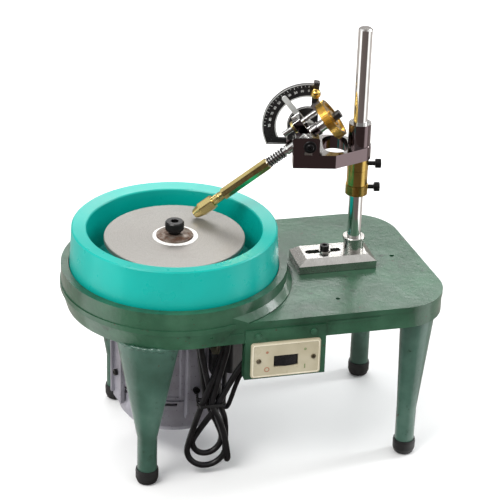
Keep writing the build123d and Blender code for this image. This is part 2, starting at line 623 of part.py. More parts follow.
def switch_parts():
    """Folded bracket on the front skirt with the switch plate, box and rocker."""
    x0, x1 = SWITCH_X - 43.5, SWITCH_X + 43.5
    panel = block(x0, x1, PANEL_FRONT, PANEL_BACK, 129.0, 187.0)
    for edge in (x0, x1 - 1.6):
        panel += block(edge, edge + 1.6, PANEL_FRONT, -104.0, 129.0, SKIRT_BOTTOM - GAP)
    panel += block(x0, x1, PANEL_FRONT, -104.0, 129.0, 130.6)
    panel -= block(SWITCH_X - 15.4, SWITCH_X + 15.4, -120, -110, SWITCH_Z - 11.9, SWITCH_Z + 7.9)
    add("switch_bracket", panel)

    window = block(SWITCH_X - 13.2, SWITCH_X + 13.2, -121, ROCKER_Y + 13, SWITCH_Z - 8.7, SWITCH_Z + 4.7)
    face = Plane(origin=(SWITCH_X, PANEL_FRONT, SWITCH_Z), x_dir=(1, 0, 0), z_dir=(0, -1, 0))
    cover = extrude(face * RectangleRounded(75.0, 40.5, 3.0), PANEL_FRONT - PLATE_FRONT)
    cover = fillet(cover.edges().group_by(Axis.Y)[0], 1.2) - window
    add("switch_plate", cover)
    box = block(SWITCH_X - 15.0, SWITCH_X + 15.0, PANEL_BACK, BOX_BACK, SWITCH_Z - 11.5, BOX_TOP)
    neck = block(SWITCH_X - 15.0, SWITCH_X + 15.0, PANEL_FRONT, PANEL_BACK, SWITCH_Z - 11.5, SWITCH_Z + 7.5)
    add("switch_body", box + neck - window)

    back = ROCKER_Y + 10
    side = [(-12.0, ROCKER_Y), (0.0, ROCKER_Y - 1.8), (12.0, ROCKER_Y), (9.0, back), (-9.0, back)]
    rocker = prism(side, SWITCH_Z - 8.2, SWITCH_Z + 4.2)
    rocker += rod(2.5, SWITCH_Z - 8.45, SWITCH_Z + 4.45, 0, ROCKER_AXIS_Y)
    add("switch_rocker", Pos(SWITCH_X, 0, 0) * rocker)
    screws = [bar_y(2.6, PLATE_FRONT - 0.9, PLATE_FRONT, SWITCH_X + s * 29.5, SWITCH_Z) for s in (-1, 1)]
    screws += [bar_y(3.4, PANEL_FRONT - 1.8, PANEL_FRONT, SWITCH_X + s * 30.0, 179.5) for s in (-1, 1)]
    add("switch_screws", *screws)


# ---- cables -------------------------------------------------------------------------
LEAD_DIA = 5.0
HANK_FRONT = -91.5
HANK_BACK = -76.5
TIE_Z = 86.0
RELIEF_DIR = (-0.8, 0.0, -0.6)
CORD_EXIT = (0.5, -99.0, 161.5)
LEAD_EXIT = (0.5, -94.5, 150.0)
BOX_ANGLE = -35.0
BOX_BOTTOM = 104.0

# straight out of the relief, a long straight run down to the hank, and in under its tie
CORD_ROUTE = [(-18.7, -99.0, 147.1), (-27.5, -97.5, 137.0), (-41.0, -91.5, 105.0), (-51.5, -85.0, 77.0)]

# from the switch down beside the hank, under in a round sag and up into the terminal box
LEAD_ROUTE = [
    (-18.7, -94.5, 135.6),
    (-26.0, -93.0, 124.0),
    (-31.0, -89.5, 106.0),
    (-34.5, -85.5, 87.5),
    (-36.0, -78.6, 75.0),
    (-36.0, -67.4, 68.5),
    (-34.5, -54.6, 68.5),
    (-31.5, -43.4, 75.5),
    (-29.5, -37.2, 87.0),
    (-28.8, -35.8, 104.0),
]


def largest_radii(route):
    """For each corner, the arc that takes 0.45 of its shorter run."""
    radii = []
    for a, b, c in zip(route, route[1:], route[2:]):
        before, after = Vector(*b) - Vector(*a), Vector(*c) - Vector(*b)
        half_turn = radians(before.get_angle(after)) / 2
        radii.append(0.45 * min(before.length, after.length) / tan(half_turn))
    return radii


def cable(route, dia):
    radii = largest_radii(route)
    print("bend radii", [round(r, 1) for r in radii])
    path = FilletPolyline(*route, radius=radii)
    body = sweep(Plane(path @ 0, z_dir=path % 0) * Circle(dia / 2), path)
    print("volume over section times length", round(body.volume / (pi * dia**2 / 4 * path.length), 4))
    return body


def relief(exit_point, dia):
    """Tapered strain relief 24 mm long that grips the cable where it leaves the box."""
    place = Plane(origin=exit_point, z_dir=RELIEF_DIR)
    sleeve = cone(dia / 2 + 2.0, dia / 2 + 0.7, -6.0, 24.0)
    return place * sleeve & block(-60, exit_point[0], -120, -60, 100, 200)


def hank():
    """Outer shape of the tied cord: two hanging loops, the waist at the tie, the upper folds."""
    outline = Polygon(
        (-69.5, TIE_Z), (-84.0, 40.0), (-81.0, 20.0), (-66.0, 8.0), (-34.0, 8.0), (-28.5, 13.0),
        (-31.0, 32.0), (-43.5, TIE_Z), (-40.0, 158.0), (-46.0, 174.0), (-60.0, 176.0), (-68.0, 160.0),
        align=None,
    )
    outline += Pos(-60.2, 32.0) * Circle(24.5)
    front = Plane(origin=(0, HANK_BACK, 0), x_dir=(1, 0, 0), z_dir=(0, -1, 0))
    return extrude(front * outline, HANK_BACK - HANK_FRONT)


def tie():
    """Twisted wire tie round the waist of the hank."""
    outer = block(-71.0, -42.4, HANK_FRONT - 1.0, HANK_BACK + 1.0, TIE_Z - 1.2, TIE_Z + 1.2)
    return outer - block(-69.4, -43.6, HANK_FRONT, HANK_BACK, TIE_Z - 2, TIE_Z + 2)


PLUG_X = -46.5
PLUG_Y = -66.0


def plug():
    """Flat two-pin plug, pins up behind the hank, its relief curving in under the tie."""
    body = block(PLUG_X - 6.5, PLUG_X + 6.5, PLUG_Y - 9.0, PLUG_Y + 9.0, 112.0, 140.0)
    body = fillet(body.edges(), 1.8)
    for pin_y in (PLUG_Y - 6.3, PLUG_Y + 6.3):
        body += block(PLUG_X - 0.8, PLUG_X + 0.8, pin_y - 3.2, pin_y + 3.2, 139, 156)
    stem = Plane(origin=(PLUG_X, PLUG_Y, 113.0), z_dir=(0, -0.5, -0.866))
    return body + stem * cone(5.2, 4.0, 0.0, 23.0)


def terminal_box():
    box = block(50.0, 77.0, -19.0, 19.0, BOX_BOTTOM, 150.0)
    box = fillet(box.edges().filter_by(Axis.Z).group_by(Axis.X)[-1], 3.0) - rod(MOTOR_R, 90, 160)
    return Pos(LAP_X, 0, 0) * Rot(0, 0, BOX_ANGLE) * box


def cables():
    add("power_cord", cable(CORD_ROUTE, CORD_DIA))
    add("motor_lead", cable(LEAD_ROUTE, LEAD_DIA))
    add("cable_reliefs", relief(CORD_EXIT, CORD_DIA), relief(LEAD_EXIT, LEAD_DIA))
    add("cord_hank", hank())
    add("cord_tie", tie())
    add("power_plug", plug())
    add("terminal_box", terminal_box())


add("table_casting", table_casting())
legs()
add("splash_bowl", splash_bowl())
motor()
motor_straps()
motor_bolts()
fan_cover()
spindle()
mast_parts()
height_stack()
add("arm_slab", arm_slab())
add("pivot_block", pivot_block())
add("angle_dial", angle_dial())
add("dial_screws", *dial_screws())
angle_stop()
add("quill_carrier", quill_carrier())
add("angle_pointer", angle_pointer())
plunger()
quill()
switch_parts()
cables()

for name, shape in NODES.items():
    export_step(shape, f"parts/{name}.step")
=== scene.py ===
import json
from math import cos, pi, radians, sin

import bpy
from mathutils import Matrix, Vector, noise


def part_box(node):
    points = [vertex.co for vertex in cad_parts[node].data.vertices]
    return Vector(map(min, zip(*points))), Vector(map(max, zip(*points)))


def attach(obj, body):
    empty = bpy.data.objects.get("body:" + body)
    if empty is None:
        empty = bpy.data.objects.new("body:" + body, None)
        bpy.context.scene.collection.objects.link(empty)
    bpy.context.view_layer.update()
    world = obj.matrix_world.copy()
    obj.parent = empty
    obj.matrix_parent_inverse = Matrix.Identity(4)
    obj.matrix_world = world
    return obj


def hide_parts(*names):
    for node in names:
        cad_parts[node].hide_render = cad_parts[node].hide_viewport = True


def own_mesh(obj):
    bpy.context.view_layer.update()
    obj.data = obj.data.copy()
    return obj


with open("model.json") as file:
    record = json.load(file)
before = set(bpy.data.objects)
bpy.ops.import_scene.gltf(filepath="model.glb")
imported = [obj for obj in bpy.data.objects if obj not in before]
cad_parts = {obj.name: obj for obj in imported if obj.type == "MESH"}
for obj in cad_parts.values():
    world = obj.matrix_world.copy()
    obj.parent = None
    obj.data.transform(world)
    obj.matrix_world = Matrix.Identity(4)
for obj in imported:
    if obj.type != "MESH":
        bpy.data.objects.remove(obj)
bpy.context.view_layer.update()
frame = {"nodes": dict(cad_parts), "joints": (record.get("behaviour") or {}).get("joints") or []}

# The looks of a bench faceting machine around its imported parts. Metres throughout;
# lengths written as 3.2 * MM are millimetres. +Z up, front is -Y, lap on the left.
MM = 0.001
NODES = frame["nodes"]
JOINTS = {joint["name"]: joint for joint in frame["joints"]}


# ---- places worked out from the frame -------------------------------------------------
def middle(node):
    low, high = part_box(node)
    return (low + high) / 2


def frame_matrix(x_axis, y_axis, z_axis, origin):
    """Matrix whose columns are three axes and an origin."""
    rows = Matrix((x_axis, y_axis, z_axis)).transposed().to_4x4()
    rows.translation = origin
    return rows


PIVOT = Vector(JOINTS["quill_tilt"]["pos_m"])
TILT_AXIS = Vector(JOINTS["quill_tilt"]["axis"]).normalized()
QUILL_AXIS = Vector(JOINTS["quill_index"]["axis"]).normalized()
QUILL = frame_matrix(TILT_AXIS.cross(QUILL_AXIS), TILT_AXIS, QUILL_AXIS, PIVOT)
UP = Vector((0, 0, 1))
DIAL = frame_matrix(TILT_AXIS.cross(UP), TILT_AXIS, UP, PIVOT)
LAP = middle("lap_disc")
ARM_AXIS = Vector(JOINTS["upper_thumb_turn"]["axis"]).normalized()
IN_MM = Matrix.Scale(MM, 4)


# ---- camera and light -----------------------------------------------------------------
CAMERA_AZIMUTH = -14.86
CAMERA_ELEVATION = 26.88
CAMERA_ROLL = 1.86
CAMERA_TARGET = Vector((0.0044, 0.0, 0.2205))
CAMERA_DISTANCE = 2.153
LENS = 144.0


def camera():
    az, el, roll = radians(CAMERA_AZIMUTH), radians(CAMERA_ELEVATION), radians(CAMERA_ROLL)
    back = Vector((sin(az) * cos(el), -cos(az) * cos(el), sin(el)))
    level = Vector((cos(az), sin(az), 0))
    right = level * cos(roll) + back.cross(level) * sin(roll)
    data = bpy.data.cameras.new("camera")
    data.lens = LENS
    data.sensor_width = 36.0
    eye = bpy.data.objects.new("camera", data)
    bpy.context.scene.collection.objects.link(eye)
    place = frame_matrix(right, back.cross(right), back, CAMERA_TARGET + back * CAMERA_DISTANCE)
    eye.matrix_world = place
    bpy.context.scene.camera = eye


def area_light(name, place, target, size, power, tint=(1.0, 1.0, 1.0)):
    data = bpy.data.lights.new(name, "AREA")
    data.shape = "RECTANGLE"
    data.size, data.size_y = size
    data.energy = power
    data.color = tint
    lamp = bpy.data.objects.new(name, data)
    lamp.location = place
    aim = Vector(target) - Vector(place)
    lamp.rotation_euler = aim.to_track_quat("-Z", "Y").to_euler()
    bpy.context.scene.collection.objects.link(lamp)


# Polished metal mirrors a photographer's room: grey behind the machine, lit paper at its sides,
# and a dim front and ceiling. A tone's place is how far a direction points to the front.
ROOM_CENTRE = (0.07, 0.0, 0.0)
ROOM_FRONT = (-0.256, -0.967, 0.0)
ROOM_TONES = [
    (0.0, (0.34, 0.31, 0.29)),
    (0.10, (1.0, 1.0, 0.99)),
    (0.52, (0.90, 0.89, 0.88)),
    (0.66, (0.075, 0.055, 0.05)),
]
ROOM_CEILING = (0.12, 0.085, 0.075)
SKY_TONES = [(0.0, (0.36, 0.37, 0.39)), (0.8, (1.0, 1.0, 1.0))]
SKY_STRENGTH = 1.08


def lights():
    """Soft overhead studio: bright above and dimmer towards the horizon."""
    bpy.context.scene.view_settings.view_transform = "Standard"
    area_light("key", (-1.4, -0.8, 2.2), (0, 0, 0.2), (1.3, 0.9), 38, (1.0, 0.99, 0.97))
    area_light("side", (2.0, 0.2, 1.3), (0, 0, 0.25), (0.4, 1.6), 20, (0.97, 0.99, 1.0))
    area_light("rim", (0.2, 1.9, 1.7), (0, 0, 0.2), (1.8, 0.5), 20)
    world = bpy.data.worlds.new("studio")
    bpy.context.scene.world = world
    world.use_nodes = True
    sky = Nodes(world.node_tree)
    direction = sky.add("ShaderNodeTexCoord").outputs["Generated"]
    height = sky.add("ShaderNodeSeparateXYZ", {0: direction}).outputs["Z"]
    mirrored = sky.add("ShaderNodeLightPath").outputs["Is Glossy Ray"]
    overhead = sky.math("MULTIPLY", sky.mask(height, 0.84, 0.95), mirrored)
    level = sky.math("MULTIPLY", sky.mask(height, 0.62, 0.3), mirrored)
    above = sky.mix(overhead, sky.ramp(height, SKY_TONES), ROOM_CEILING)
    background = sky.nodes["Background"]
    sky.links.new(sky.mix(level, above, sky.room(direction)), background.inputs["Color"])
    background.inputs["Strength"].default_value = SKY_STRENGTH


def floor():
    """Plain pale floor, which polished metal mirrors as the room."""
    half = 7.0
    corners = [(-half, -half, 0), (half, -half, 0), (half, half, 0), (-half, half, 0)]
    mesh = bpy.data.meshes.new("floor")
    mesh.from_pydata(corners, [], [(0, 1, 2, 3)])
    piece = bpy.data.objects.new("floor", mesh)
    bpy.context.scene.collection.objects.link(piece)
    paper = Finish("floor_paper", roughness=0.8)
    pale = paper.ramp(paper.noise(3.0), [(0.3, (0.91, 0.91, 0.91)), (0.7, (0.94, 0.94, 0.94))])
    place = paper.add("ShaderNodeTexCoord").outputs["Object"]
    away = paper.add("ShaderNodeVectorMath", {0: place, 1: ROOM_CENTRE}, operation="SUBTRACT")
    direction = paper.add("ShaderNodeVectorMath", {0: away.outputs[0]}, operation="NORMALIZE")
    mirrored = paper.add("ShaderNodeLightPath").outputs["Is Glossy Ray"]
    paper.color(paper.mix(mirrored, pale, paper.room(direction.outputs[0])))
    mesh.materials.append(paper.material)


# ---- node and material builders ---------------------------------------------------------
class Nodes:
    """Short calls that add shader nodes to one node tree."""

    def __init__(self, tree):
        self.nodes, self.links = tree.nodes, tree.links

    def add(self, kind, inputs=None, **settings):
        node = self.nodes.new(kind)
        for key, value in settings.items():
            setattr(node, key, value)
        for key, value in (inputs or {}).items():
            if isinstance(value, bpy.types.NodeSocket):
                self.links.new(value, node.inputs[key])
            else:
                node.inputs[key].default_value = value
        return node

    def math(self, operation, a, b=0.0):
        return self.add("ShaderNodeMath", {0: a, 1: b}, operation=operation).outputs[0]

    def ramp(self, value, stops):
        node = self.add("ShaderNodeValToRGB", {"Fac": value})
        elements = node.color_ramp.elements
        while len(elements) < len(stops):
            elements.new(0.5)
        for element, (position, color) in zip(elements, stops):
            element.position = position
            element.color = (*color, 1.0)
        return node.outputs["Color"]

    def mask(self, value, low, high):
        """0 under low and 1 over high."""
        inputs = {"Value": value, "From Min": low, "From Max": high}
        return self.add("ShaderNodeMapRange", inputs).outputs["Result"]

    def mix(self, share, first, second):
        node = self.add("ShaderNodeMix", data_type="RGBA")
        for index, value in ((0, share), (6, first), (7, second)):
            if isinstance(value, bpy.types.NodeSocket):
                self.links.new(value, node.inputs[index])
            else:
                node.inputs[index].default_value = value if index == 0 else (*value, 1.0)
        return node.outputs[2]

    def room(self, direction):
        """What polished metal mirrors in a level direction."""
        facing = self.add("ShaderNodeVectorMath", {0: direction, 1: ROOM_FRONT}, operation="DOT_PRODUCT")
        return self.ramp(facing.outputs["Value"], ROOM_TONES)


class Finish(Nodes):
    """A principled material with short calls that add its procedural detail."""

    def __init__(self, name, roughness=0.5, metallic=0.0, coat=0.0, coat_roughness=0.05):
        self.material = bpy.data.materials.new(name)
        self.material.use_nodes = True
        super().__init__(self.material.node_tree)
        self.shader = next(n for n in self.nodes if n.type == "BSDF_PRINCIPLED")
        values = {
            "Roughness": roughness,
            "Metallic": metallic,
            "Coat Weight": coat,
            "Coat Roughness": coat_roughness,
            "IOR": 1.5,
        }
        for socket, value in values.items():
            self.shader.inputs[socket].default_value = value
        self.place = self.nodes.new("ShaderNodeTexCoord").outputs["Object"]

    def moved(self, location=(0, 0, 0), scale=(1, 1, 1)):
        """The object's coordinates, moved and then stretched."""
        shift = self.add("ShaderNodeVectorMath", {0: self.place, 1: location}, operation="SUBTRACT")
        grown = self.add("ShaderNodeVectorMath", {0: shift.outputs[0], 1: scale}, operation="MULTIPLY")
        return grown.outputs[0]

    def noise(self, scale, detail=4.0, roughness=0.55, place=None):
        inputs = {
            "Vector": place or self.place,
            "Scale": scale,
            "Detail": detail,
            "Roughness": roughness,
        }
        return self.add("ShaderNodeTexNoise", inputs).outputs["Fac"]

    def lines(self, axis, scale, detail=3.0):
        """Noise that changes only along one axis, as tool marks on a turned part do."""
        along = self.add("ShaderNodeVectorMath", {0: self.place, 1: tuple(axis)}, operation="DOT_PRODUCT")
        inputs = {"W": along.outputs["Value"], "Scale": scale, "Detail": detail}
        return self.add("ShaderNodeTexNoise", inputs, noise_dimensions="1D").outputs["Fac"]

    def radius_from(self, centre):
        """Distance from an upright axis through a point."""
        flat = self.moved((centre[0], centre[1], 0), (1, 1, 0))
        return self.add("ShaderNodeVectorMath", {0: flat}, operation="LENGTH").outputs["Value"]

    def cells(self, scale):
        inputs = {"Vector": self.place, "Scale": scale, "Randomness": 1.0}
        return self.add("ShaderNodeTexVoronoi", inputs).outputs["Distance"]

    def height_over(self, z, soft):
        """0 below a height and 1 above it, with a soft edge."""
        level = self.add("ShaderNodeSeparateXYZ", {0: self.place}).outputs["Z"]
        inputs = {"Value": level, "From Min": z - soft, "From Max": z + soft}
        return self.add("ShaderNodeMapRange", inputs).outputs["Result"]

    def color(self, value):
        if isinstance(value, bpy.types.NodeSocket):
            self.links.new(value, self.shader.inputs["Base Color"])
        else:
            self.shader.inputs["Base Color"].default_value = (*value, 1.0)

    def vary(self, socket, value, low, high):
        """Drives a shader socket between two values."""
        inputs = {"Value": value, "To Min": low, "To Max": high}
        self.links.new(self.add("ShaderNodeMapRange", inputs).outputs["Result"], self.shader.inputs[socket])

    def bump(self, value, depth, strength=1.0):
        """Adds relief of that depth in metres on top of what is there."""
        inputs = {"Height": value, "Distance": depth, "Strength": strength}
        normal = self.shader.inputs["Normal"]
        if normal.is_linked:
            inputs["Normal"] = normal.links[0].from_socket
        self.links.new(self.add("ShaderNodeBump", inputs).outputs["Normal"], normal)


# ---- materials ------------------------------------------------------------------------
def green_enamel(name, lift):
    """Thick hammered enamel over a rough casting, thin and scuffed in places.

    The lift multiplies red, green and blue.
    """
    finish = Finish(name, coat=0.4, coat_roughness=0.1)
    clouds = finish.noise(18.0, 5.0)
    shades = [
        (0.32, (0.010, 0.052, 0.024)),
        (0.52, (0.019, 0.085, 0.042)),
        (0.72, (0.036, 0.125, 0.066)),
    ]
    lifted = [(at, tuple(k * v for k, v in zip(lift, shade))) for at, shade in shades]
    base = finish.ramp(clouds, lifted)
    grime = finish.mask(finish.noise(55.0, 6.0, 0.7), 0.60, 0.72)
    base = finish.mix(grime, base, (0.008, 0.028, 0.014))
    chips = finish.mask(finish.noise(140.0, 2.0, 0.5), 0.735, 0.755)
    base = finish.mix(chips, base, (0.05, 0.035, 0.022))
    finish.color(base)
    finish.vary("Roughness", finish.noise(70.0, 4.0), 0.2, 0.46)
    finish.bump(finish.noise(24.0, 3.0), 1.3 * MM, 0.55)
    finish.bump(finish.noise(190.0, 3.0), 0.45 * MM, 0.7)
    finish.bump(finish.noise(700.0, 2.0), 0.08 * MM, 0.7)
    return finish.material


def rubber(name, shade, roughness):
    """Black rubber, dusty in the hollows of its grain."""
    finish = Finish(name, roughness=roughness)
    finish.shader.inputs["Specular IOR Level"].default_value = 0.4
    dust = finish.noise(60.0, 5.0, 0.65)
    light = tuple(value * 2.2 + 0.006 for value in shade)
    finish.color(finish.ramp(dust, [(0.35, shade), (0.75, light)]))
    finish.vary("Roughness", finish.noise(130.0, 4.0), roughness - 0.1, roughness + 0.15)
    finish.bump(finish.noise(900.0, 3.0), 0.06 * MM, 0.6)
    finish.bump(finish.noise(160.0, 2.0), 0.15 * MM, 0.35)
    return finish.material


def teal_plastic():
    """Moulded teal plastic, cloudy under the skin and lightly scratched."""
    finish = Finish("teal_plastic")
    finish.shader.inputs["Specular IOR Level"].default_value = 0.32
    shades = [(0.3, (0.0, 0.34, 0.29)), (0.7, (0.0, 0.42, 0.36))]
    clouds = finish.ramp(finish.noise(9.0, 4.0), shades)
    scuffs = finish.mask(finish.noise(90.0, 6.0, 0.75, finish.moved(scale=(1, 1, 7))), 0.64, 0.8)
    finish.color(finish.mix(finish.math("MULTIPLY", scuffs, 0.3), clouds, (0.10, 0.62, 0.54)))
    finish.vary("Roughness", finish.noise(45.0, 5.0), 0.2, 0.4)
    finish.bump(finish.noise(30.0, 2.0), 0.3 * MM, 0.4)
    finish.bump(finish.noise(620.0, 3.0), 0.04 * MM, 0.5)
    return finish.material


def cast_alloy():
    """Grey aluminium casting, sanded, with darker pores and stains."""
    finish = Finish("cast_alloy", metallic=0.62)
    tone = finish.ramp(finish.noise(28.0, 5.0), [(0.3, (0.30, 0.29, 0.33)), (0.7, (0.45, 0.44, 0.49))])
    pores = finish.mask(finish.cells(240.0), 0.10, 0.22)
    tone = finish.mix(pores, (0.22, 0.21, 0.23), tone)
    stain = finish.mask(finish.noise(14.0, 6.0, 0.7), 0.60, 0.78)
    finish.color(finish.mix(finish.math("MULTIPLY", stain, 0.6), tone, (0.21, 0.20, 0.21)))
    finish.vary("Roughness", finish.noise(85.0, 4.0), 0.34, 0.6)
    finish.bump(finish.noise(420.0, 3.0), 0.14 * MM, 0.6)
    finish.bump(finish.noise(60.0, 3.0), 0.5 * MM, 0.3)
    return finish.material


def steel(name, dark, light, roughness, axis=(0, 0, 1), metallic=1.0):
    """Machined steel with tool marks across one axis, smears and small stains."""
    finish = Finish(name, metallic=metallic)
    marks = finish.lines(axis, 2600.0)
    clouds = finish.noise(36.0, 5.0, 0.6)
    blend = finish.math("ADD", finish.math("MULTIPLY", marks, 0.4), finish.math("MULTIPLY", clouds, 0.6))
    finish.color(finish.ramp(blend, [(0.36, dark), (0.62, light)]))
    finish.vary("Roughness", finish.noise(110.0, 5.0, 0.65), roughness * 0.6, roughness * 1.5)
    finish.bump(marks, 0.02 * MM, 0.5)
    finish.bump(finish.noise(300.0, 2.0), 0.02 * MM, 0.3)
    return finish.material


def lap_face():
    """Fine-turned grinding disc: rings cut round the axis, grit, and a worn band."""
    finish = Finish("lap_face", metallic=0.7)
    radius = finish.radius_from(LAP)
    cuts = {"W": radius, "Scale": 1900.0, "Detail": 3.0}
    rings = finish.add("ShaderNodeTexNoise", cuts, noise_dimensions="1D").outputs["Fac"]
    grit = finish.noise(1300.0, 2.0)
    blend = finish.math("ADD", finish.math("MULTIPLY", rings, 0.5), finish.math("MULTIPLY", grit, 0.5))
    tone = finish.ramp(blend, [(0.34, (0.22, 0.21, 0.195)), (0.64, (0.36, 0.345, 0.325))])
    worn = finish.mask(finish.noise(22.0, 6.0, 0.65), 0.52, 0.75)
    finish.color(finish.mix(finish.math("MULTIPLY", worn, 0.35), tone, (0.23, 0.20, 0.18)))
    finish.vary("Roughness", grit, 0.42, 0.62)
    finish.shader.inputs["Anisotropic"].default_value = 0.35
    finish.bump(rings, 0.05 * MM, 0.5)
    finish.bump(grit, 0.05 * MM, 0.5)
    return finish.material


def stained_steel():
    """Washer with brown rust blotches over bare metal."""
    finish = Finish("stained_steel", metallic=0.45)
    rust = finish.mask(finish.noise(130.0, 6.0, 0.7), 0.42, 0.62)
    tone = finish.ramp(finish.noise(320.0, 4.0), [(0.3, (0.06, 0.03, 0.018)), (0.7, (0.15, 0.08, 0.05))])
    finish.color(finish.mix(rust, (0.22, 0.18, 0.15), tone))
    finish.vary("Roughness", rust, 0.4, 0.75)
    finish.bump(finish.noise(520.0, 4.0), 0.12 * MM, 0.7)
    return finish.material


def chrome(name, tone, painted_reflection_tone=None):
    """Bright plate with smears. Upright and downward faces may be given a painted dark reflection in place
    of the plate's colour.
    """
    finish = Finish(name, metallic=1.0)
    clouds = finish.noise(24.0, 5.0, 0.6)
    light = (tone, tone, tone * 0.985)
    color = finish.ramp(clouds, [(0.35, tuple(0.9 * v for v in light)), (0.65, light)])
    if painted_reflection_tone is not None:
        normal = finish.add("ShaderNodeNewGeometry").outputs["Normal"]
        own_normal = finish.add(
            "ShaderNodeVectorTransform",
            {"Vector": normal},
            vector_type="NORMAL",
            convert_from="WORLD",
            convert_to="OBJECT",
        )
        level = finish.add("ShaderNodeSeparateXYZ", {0: own_normal.outputs[0]}).outputs["Z"]
        # painted reflection: faces turned away from up take the dark tone, standing in for the dim room
        # they mirror
        color = finish.mix(finish.mask(level, 0.25, 0.8), painted_reflection_tone, color)
    finish.color(color)
    finish.vary("Roughness", finish.noise(75.0, 6.0, 0.7), 0.04, 0.17)
    finish.bump(finish.noise(160.0, 3.0), 0.02 * MM, 0.4)
    return finish.material


def brass(name, axis, dark, light, tarnish=0.5):
    """Turned brass with fine rings, olive tarnish in patches and bright rubbed places."""
    finish = Finish(name, metallic=1.0)
    marks = finish.lines(axis, 2200.0)
    bright = finish.ramp(marks, [(0.3, dark), (0.7, light)])
    patches = finish.mask(finish.noise(48.0, 6.0, 0.65), 0.45, 0.72)
    finish.color(finish.mix(finish.math("MULTIPLY", patches, tarnish), bright, (0.24, 0.19, 0.06)))
    finish.vary("Roughness", finish.noise(120.0, 5.0, 0.65), 0.12, 0.32)
    finish.bump(marks, 0.03 * MM, 0.5)
    finish.bump(finish.noise(240.0, 2.0), 0.03 * MM, 0.3)
    return finish.material


def black_gloss(name="black_gloss", roughness=0.22, wear=(0.33, 0.32, 0.31)):
    """Polished black finish with grey rubbed spots."""
    finish = Finish(name, coat=0.4, coat_roughness=0.1)
    worn = finish.mask(finish.noise(90.0, 6.0, 0.72), 0.66, 0.76)
    shades = [(0.3, (0.006, 0.006, 0.007)), (0.7, (0.022, 0.021, 0.022))]
    base = finish.ramp(finish.noise(30.0, 4.0), shades)
    finish.color(finish.mix(worn, base, wear))
    finish.vary("Roughness", finish.noise(75.0, 5.0), roughness - 0.08, roughness + 0.14)
    finish.vary("Metallic", worn, 0.3, 1.0)
    finish.bump(finish.noise(380.0, 3.0), 0.04 * MM, 0.5)
    return finish.material


def moulded(name, dark, light, roughness):
    """Moulded plastic with a fine grain and soft shade changes."""
    finish = Finish(name, coat=0.2, coat_roughness=0.2)
    finish.color(finish.ramp(finish.noise(26.0, 5.0), [(0.32, dark), (0.68, light)]))
    finish.vary("Roughness", finish.noise(95.0, 4.0), roughness - 0.1, roughness + 0.12)
    finish.bump(finish.noise(800.0, 3.0), 0.04 * MM, 0.5)
    finish.bump(finish.noise(55.0, 2.0), 0.12 * MM, 0.3)
    return finish.material


def ink(name, shade):
    """Printed or inlaid marks, slightly worn."""
    finish = Finish(name)
    thin = tuple(0.72 * value for value in shade)
    finish.color(finish.ramp(finish.noise(260.0, 4.0), [(0.35, thin), (0.6, shade)]))
    finish.vary("Roughness", finish.noise(400.0, 3.0), 0.35, 0.6)
    finish.bump(finish.noise(1200.0, 2.0), 0.02 * MM, 0.4)
    return finish.material


def laminations():
    """Stacked sheets of dark iron."""
    finish = Finish("laminations", metallic=0.6)
    sheets = finish.lines((0, 0, 1), 1500.0, 1.0)
    finish.color(finish.ramp(sheets, [(0.4, (0.03, 0.026, 0.024)), (0.6, (0.13, 0.115, 0.10))]))
    finish.vary("Roughness", finish.noise(200.0, 3.0), 0.5, 0.75)
    finish.bump(sheets, 0.1 * MM, 0.8)
    return finish.material


# how far the pins' colour reaches down from their tips: their length and 0.6 mm of the body
METAL_DEPTH = 16.6 * MM


def plug_finish():
    """Black rubber body with bright pins above it."""
    body_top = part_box("power_plug")[1].z - METAL_DEPTH
    finish = Finish("plug_rubber")
    metal = finish.height_over(body_top, 0.1 * MM)
    shades = [(0.3, (0.008, 0.008, 0.008)), (0.7, (0.03, 0.03, 0.03))]
    rubbery = finish.ramp(finish.noise(80.0, 4.0), shades)
    finish.color(finish.mix(metal, rubbery, (0.72, 0.66, 0.50)))
    finish.vary("Roughness", finish.math("ADD", finish.noise(150.0, 4.0), metal), 0.6, 0.4)
    finish.links.new(metal, finish.shader.inputs["Metallic"])
    finish.bump(finish.noise(700.0, 3.0), 0.05 * MM, 0.5)
    return finish.material


def painted_screws():
    """Small screws: bare on the switch plate, painted over on the bracket above it."""
    finish = Finish("switch_screws")
    painted = finish.height_over(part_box("switch_plate")[1].z, 0.5 * MM)
    metal_shades = [(0.35, (0.12, 0.10, 0.06)), (0.65, (0.46, 0.41, 0.29))]
    paint_shades = [(0.35, (0.016, 0.07, 0.034)), (0.65, (0.045, 0.14, 0.08))]
    bare = finish.ramp(finish.noise(240.0, 4.0), metal_shades)
    paint = finish.ramp(finish.noise(120.0, 4.0), paint_shades)
    finish.color(finish.mix(painted, bare, paint))
    finish.vary("Roughness", finish.noise(300.0, 4.0), 0.22, 0.45)
    finish.vary("Metallic", painted, 0.9, 0.0)
    finish.bump(finish.noise(500.0, 3.0), 0.1 * MM, 0.6)
    return finish.material


OLD_BRASS = ((0.42, 0.27, 0.06), (0.68, 0.48, 0.15))
PALE_BRASS = ((0.62, 0.48, 0.17), (0.84, 0.71, 0.34))
GOLD_BRASS = ((0.58, 0.36, 0.07), (0.82, 0.58, 0.18))
# painted reflection: the dark tone chrome() puts on the upright faces of the arm's chrome parts
PAINTED_DARK_REFLECTION = (0.16, 0.122, 0.127)


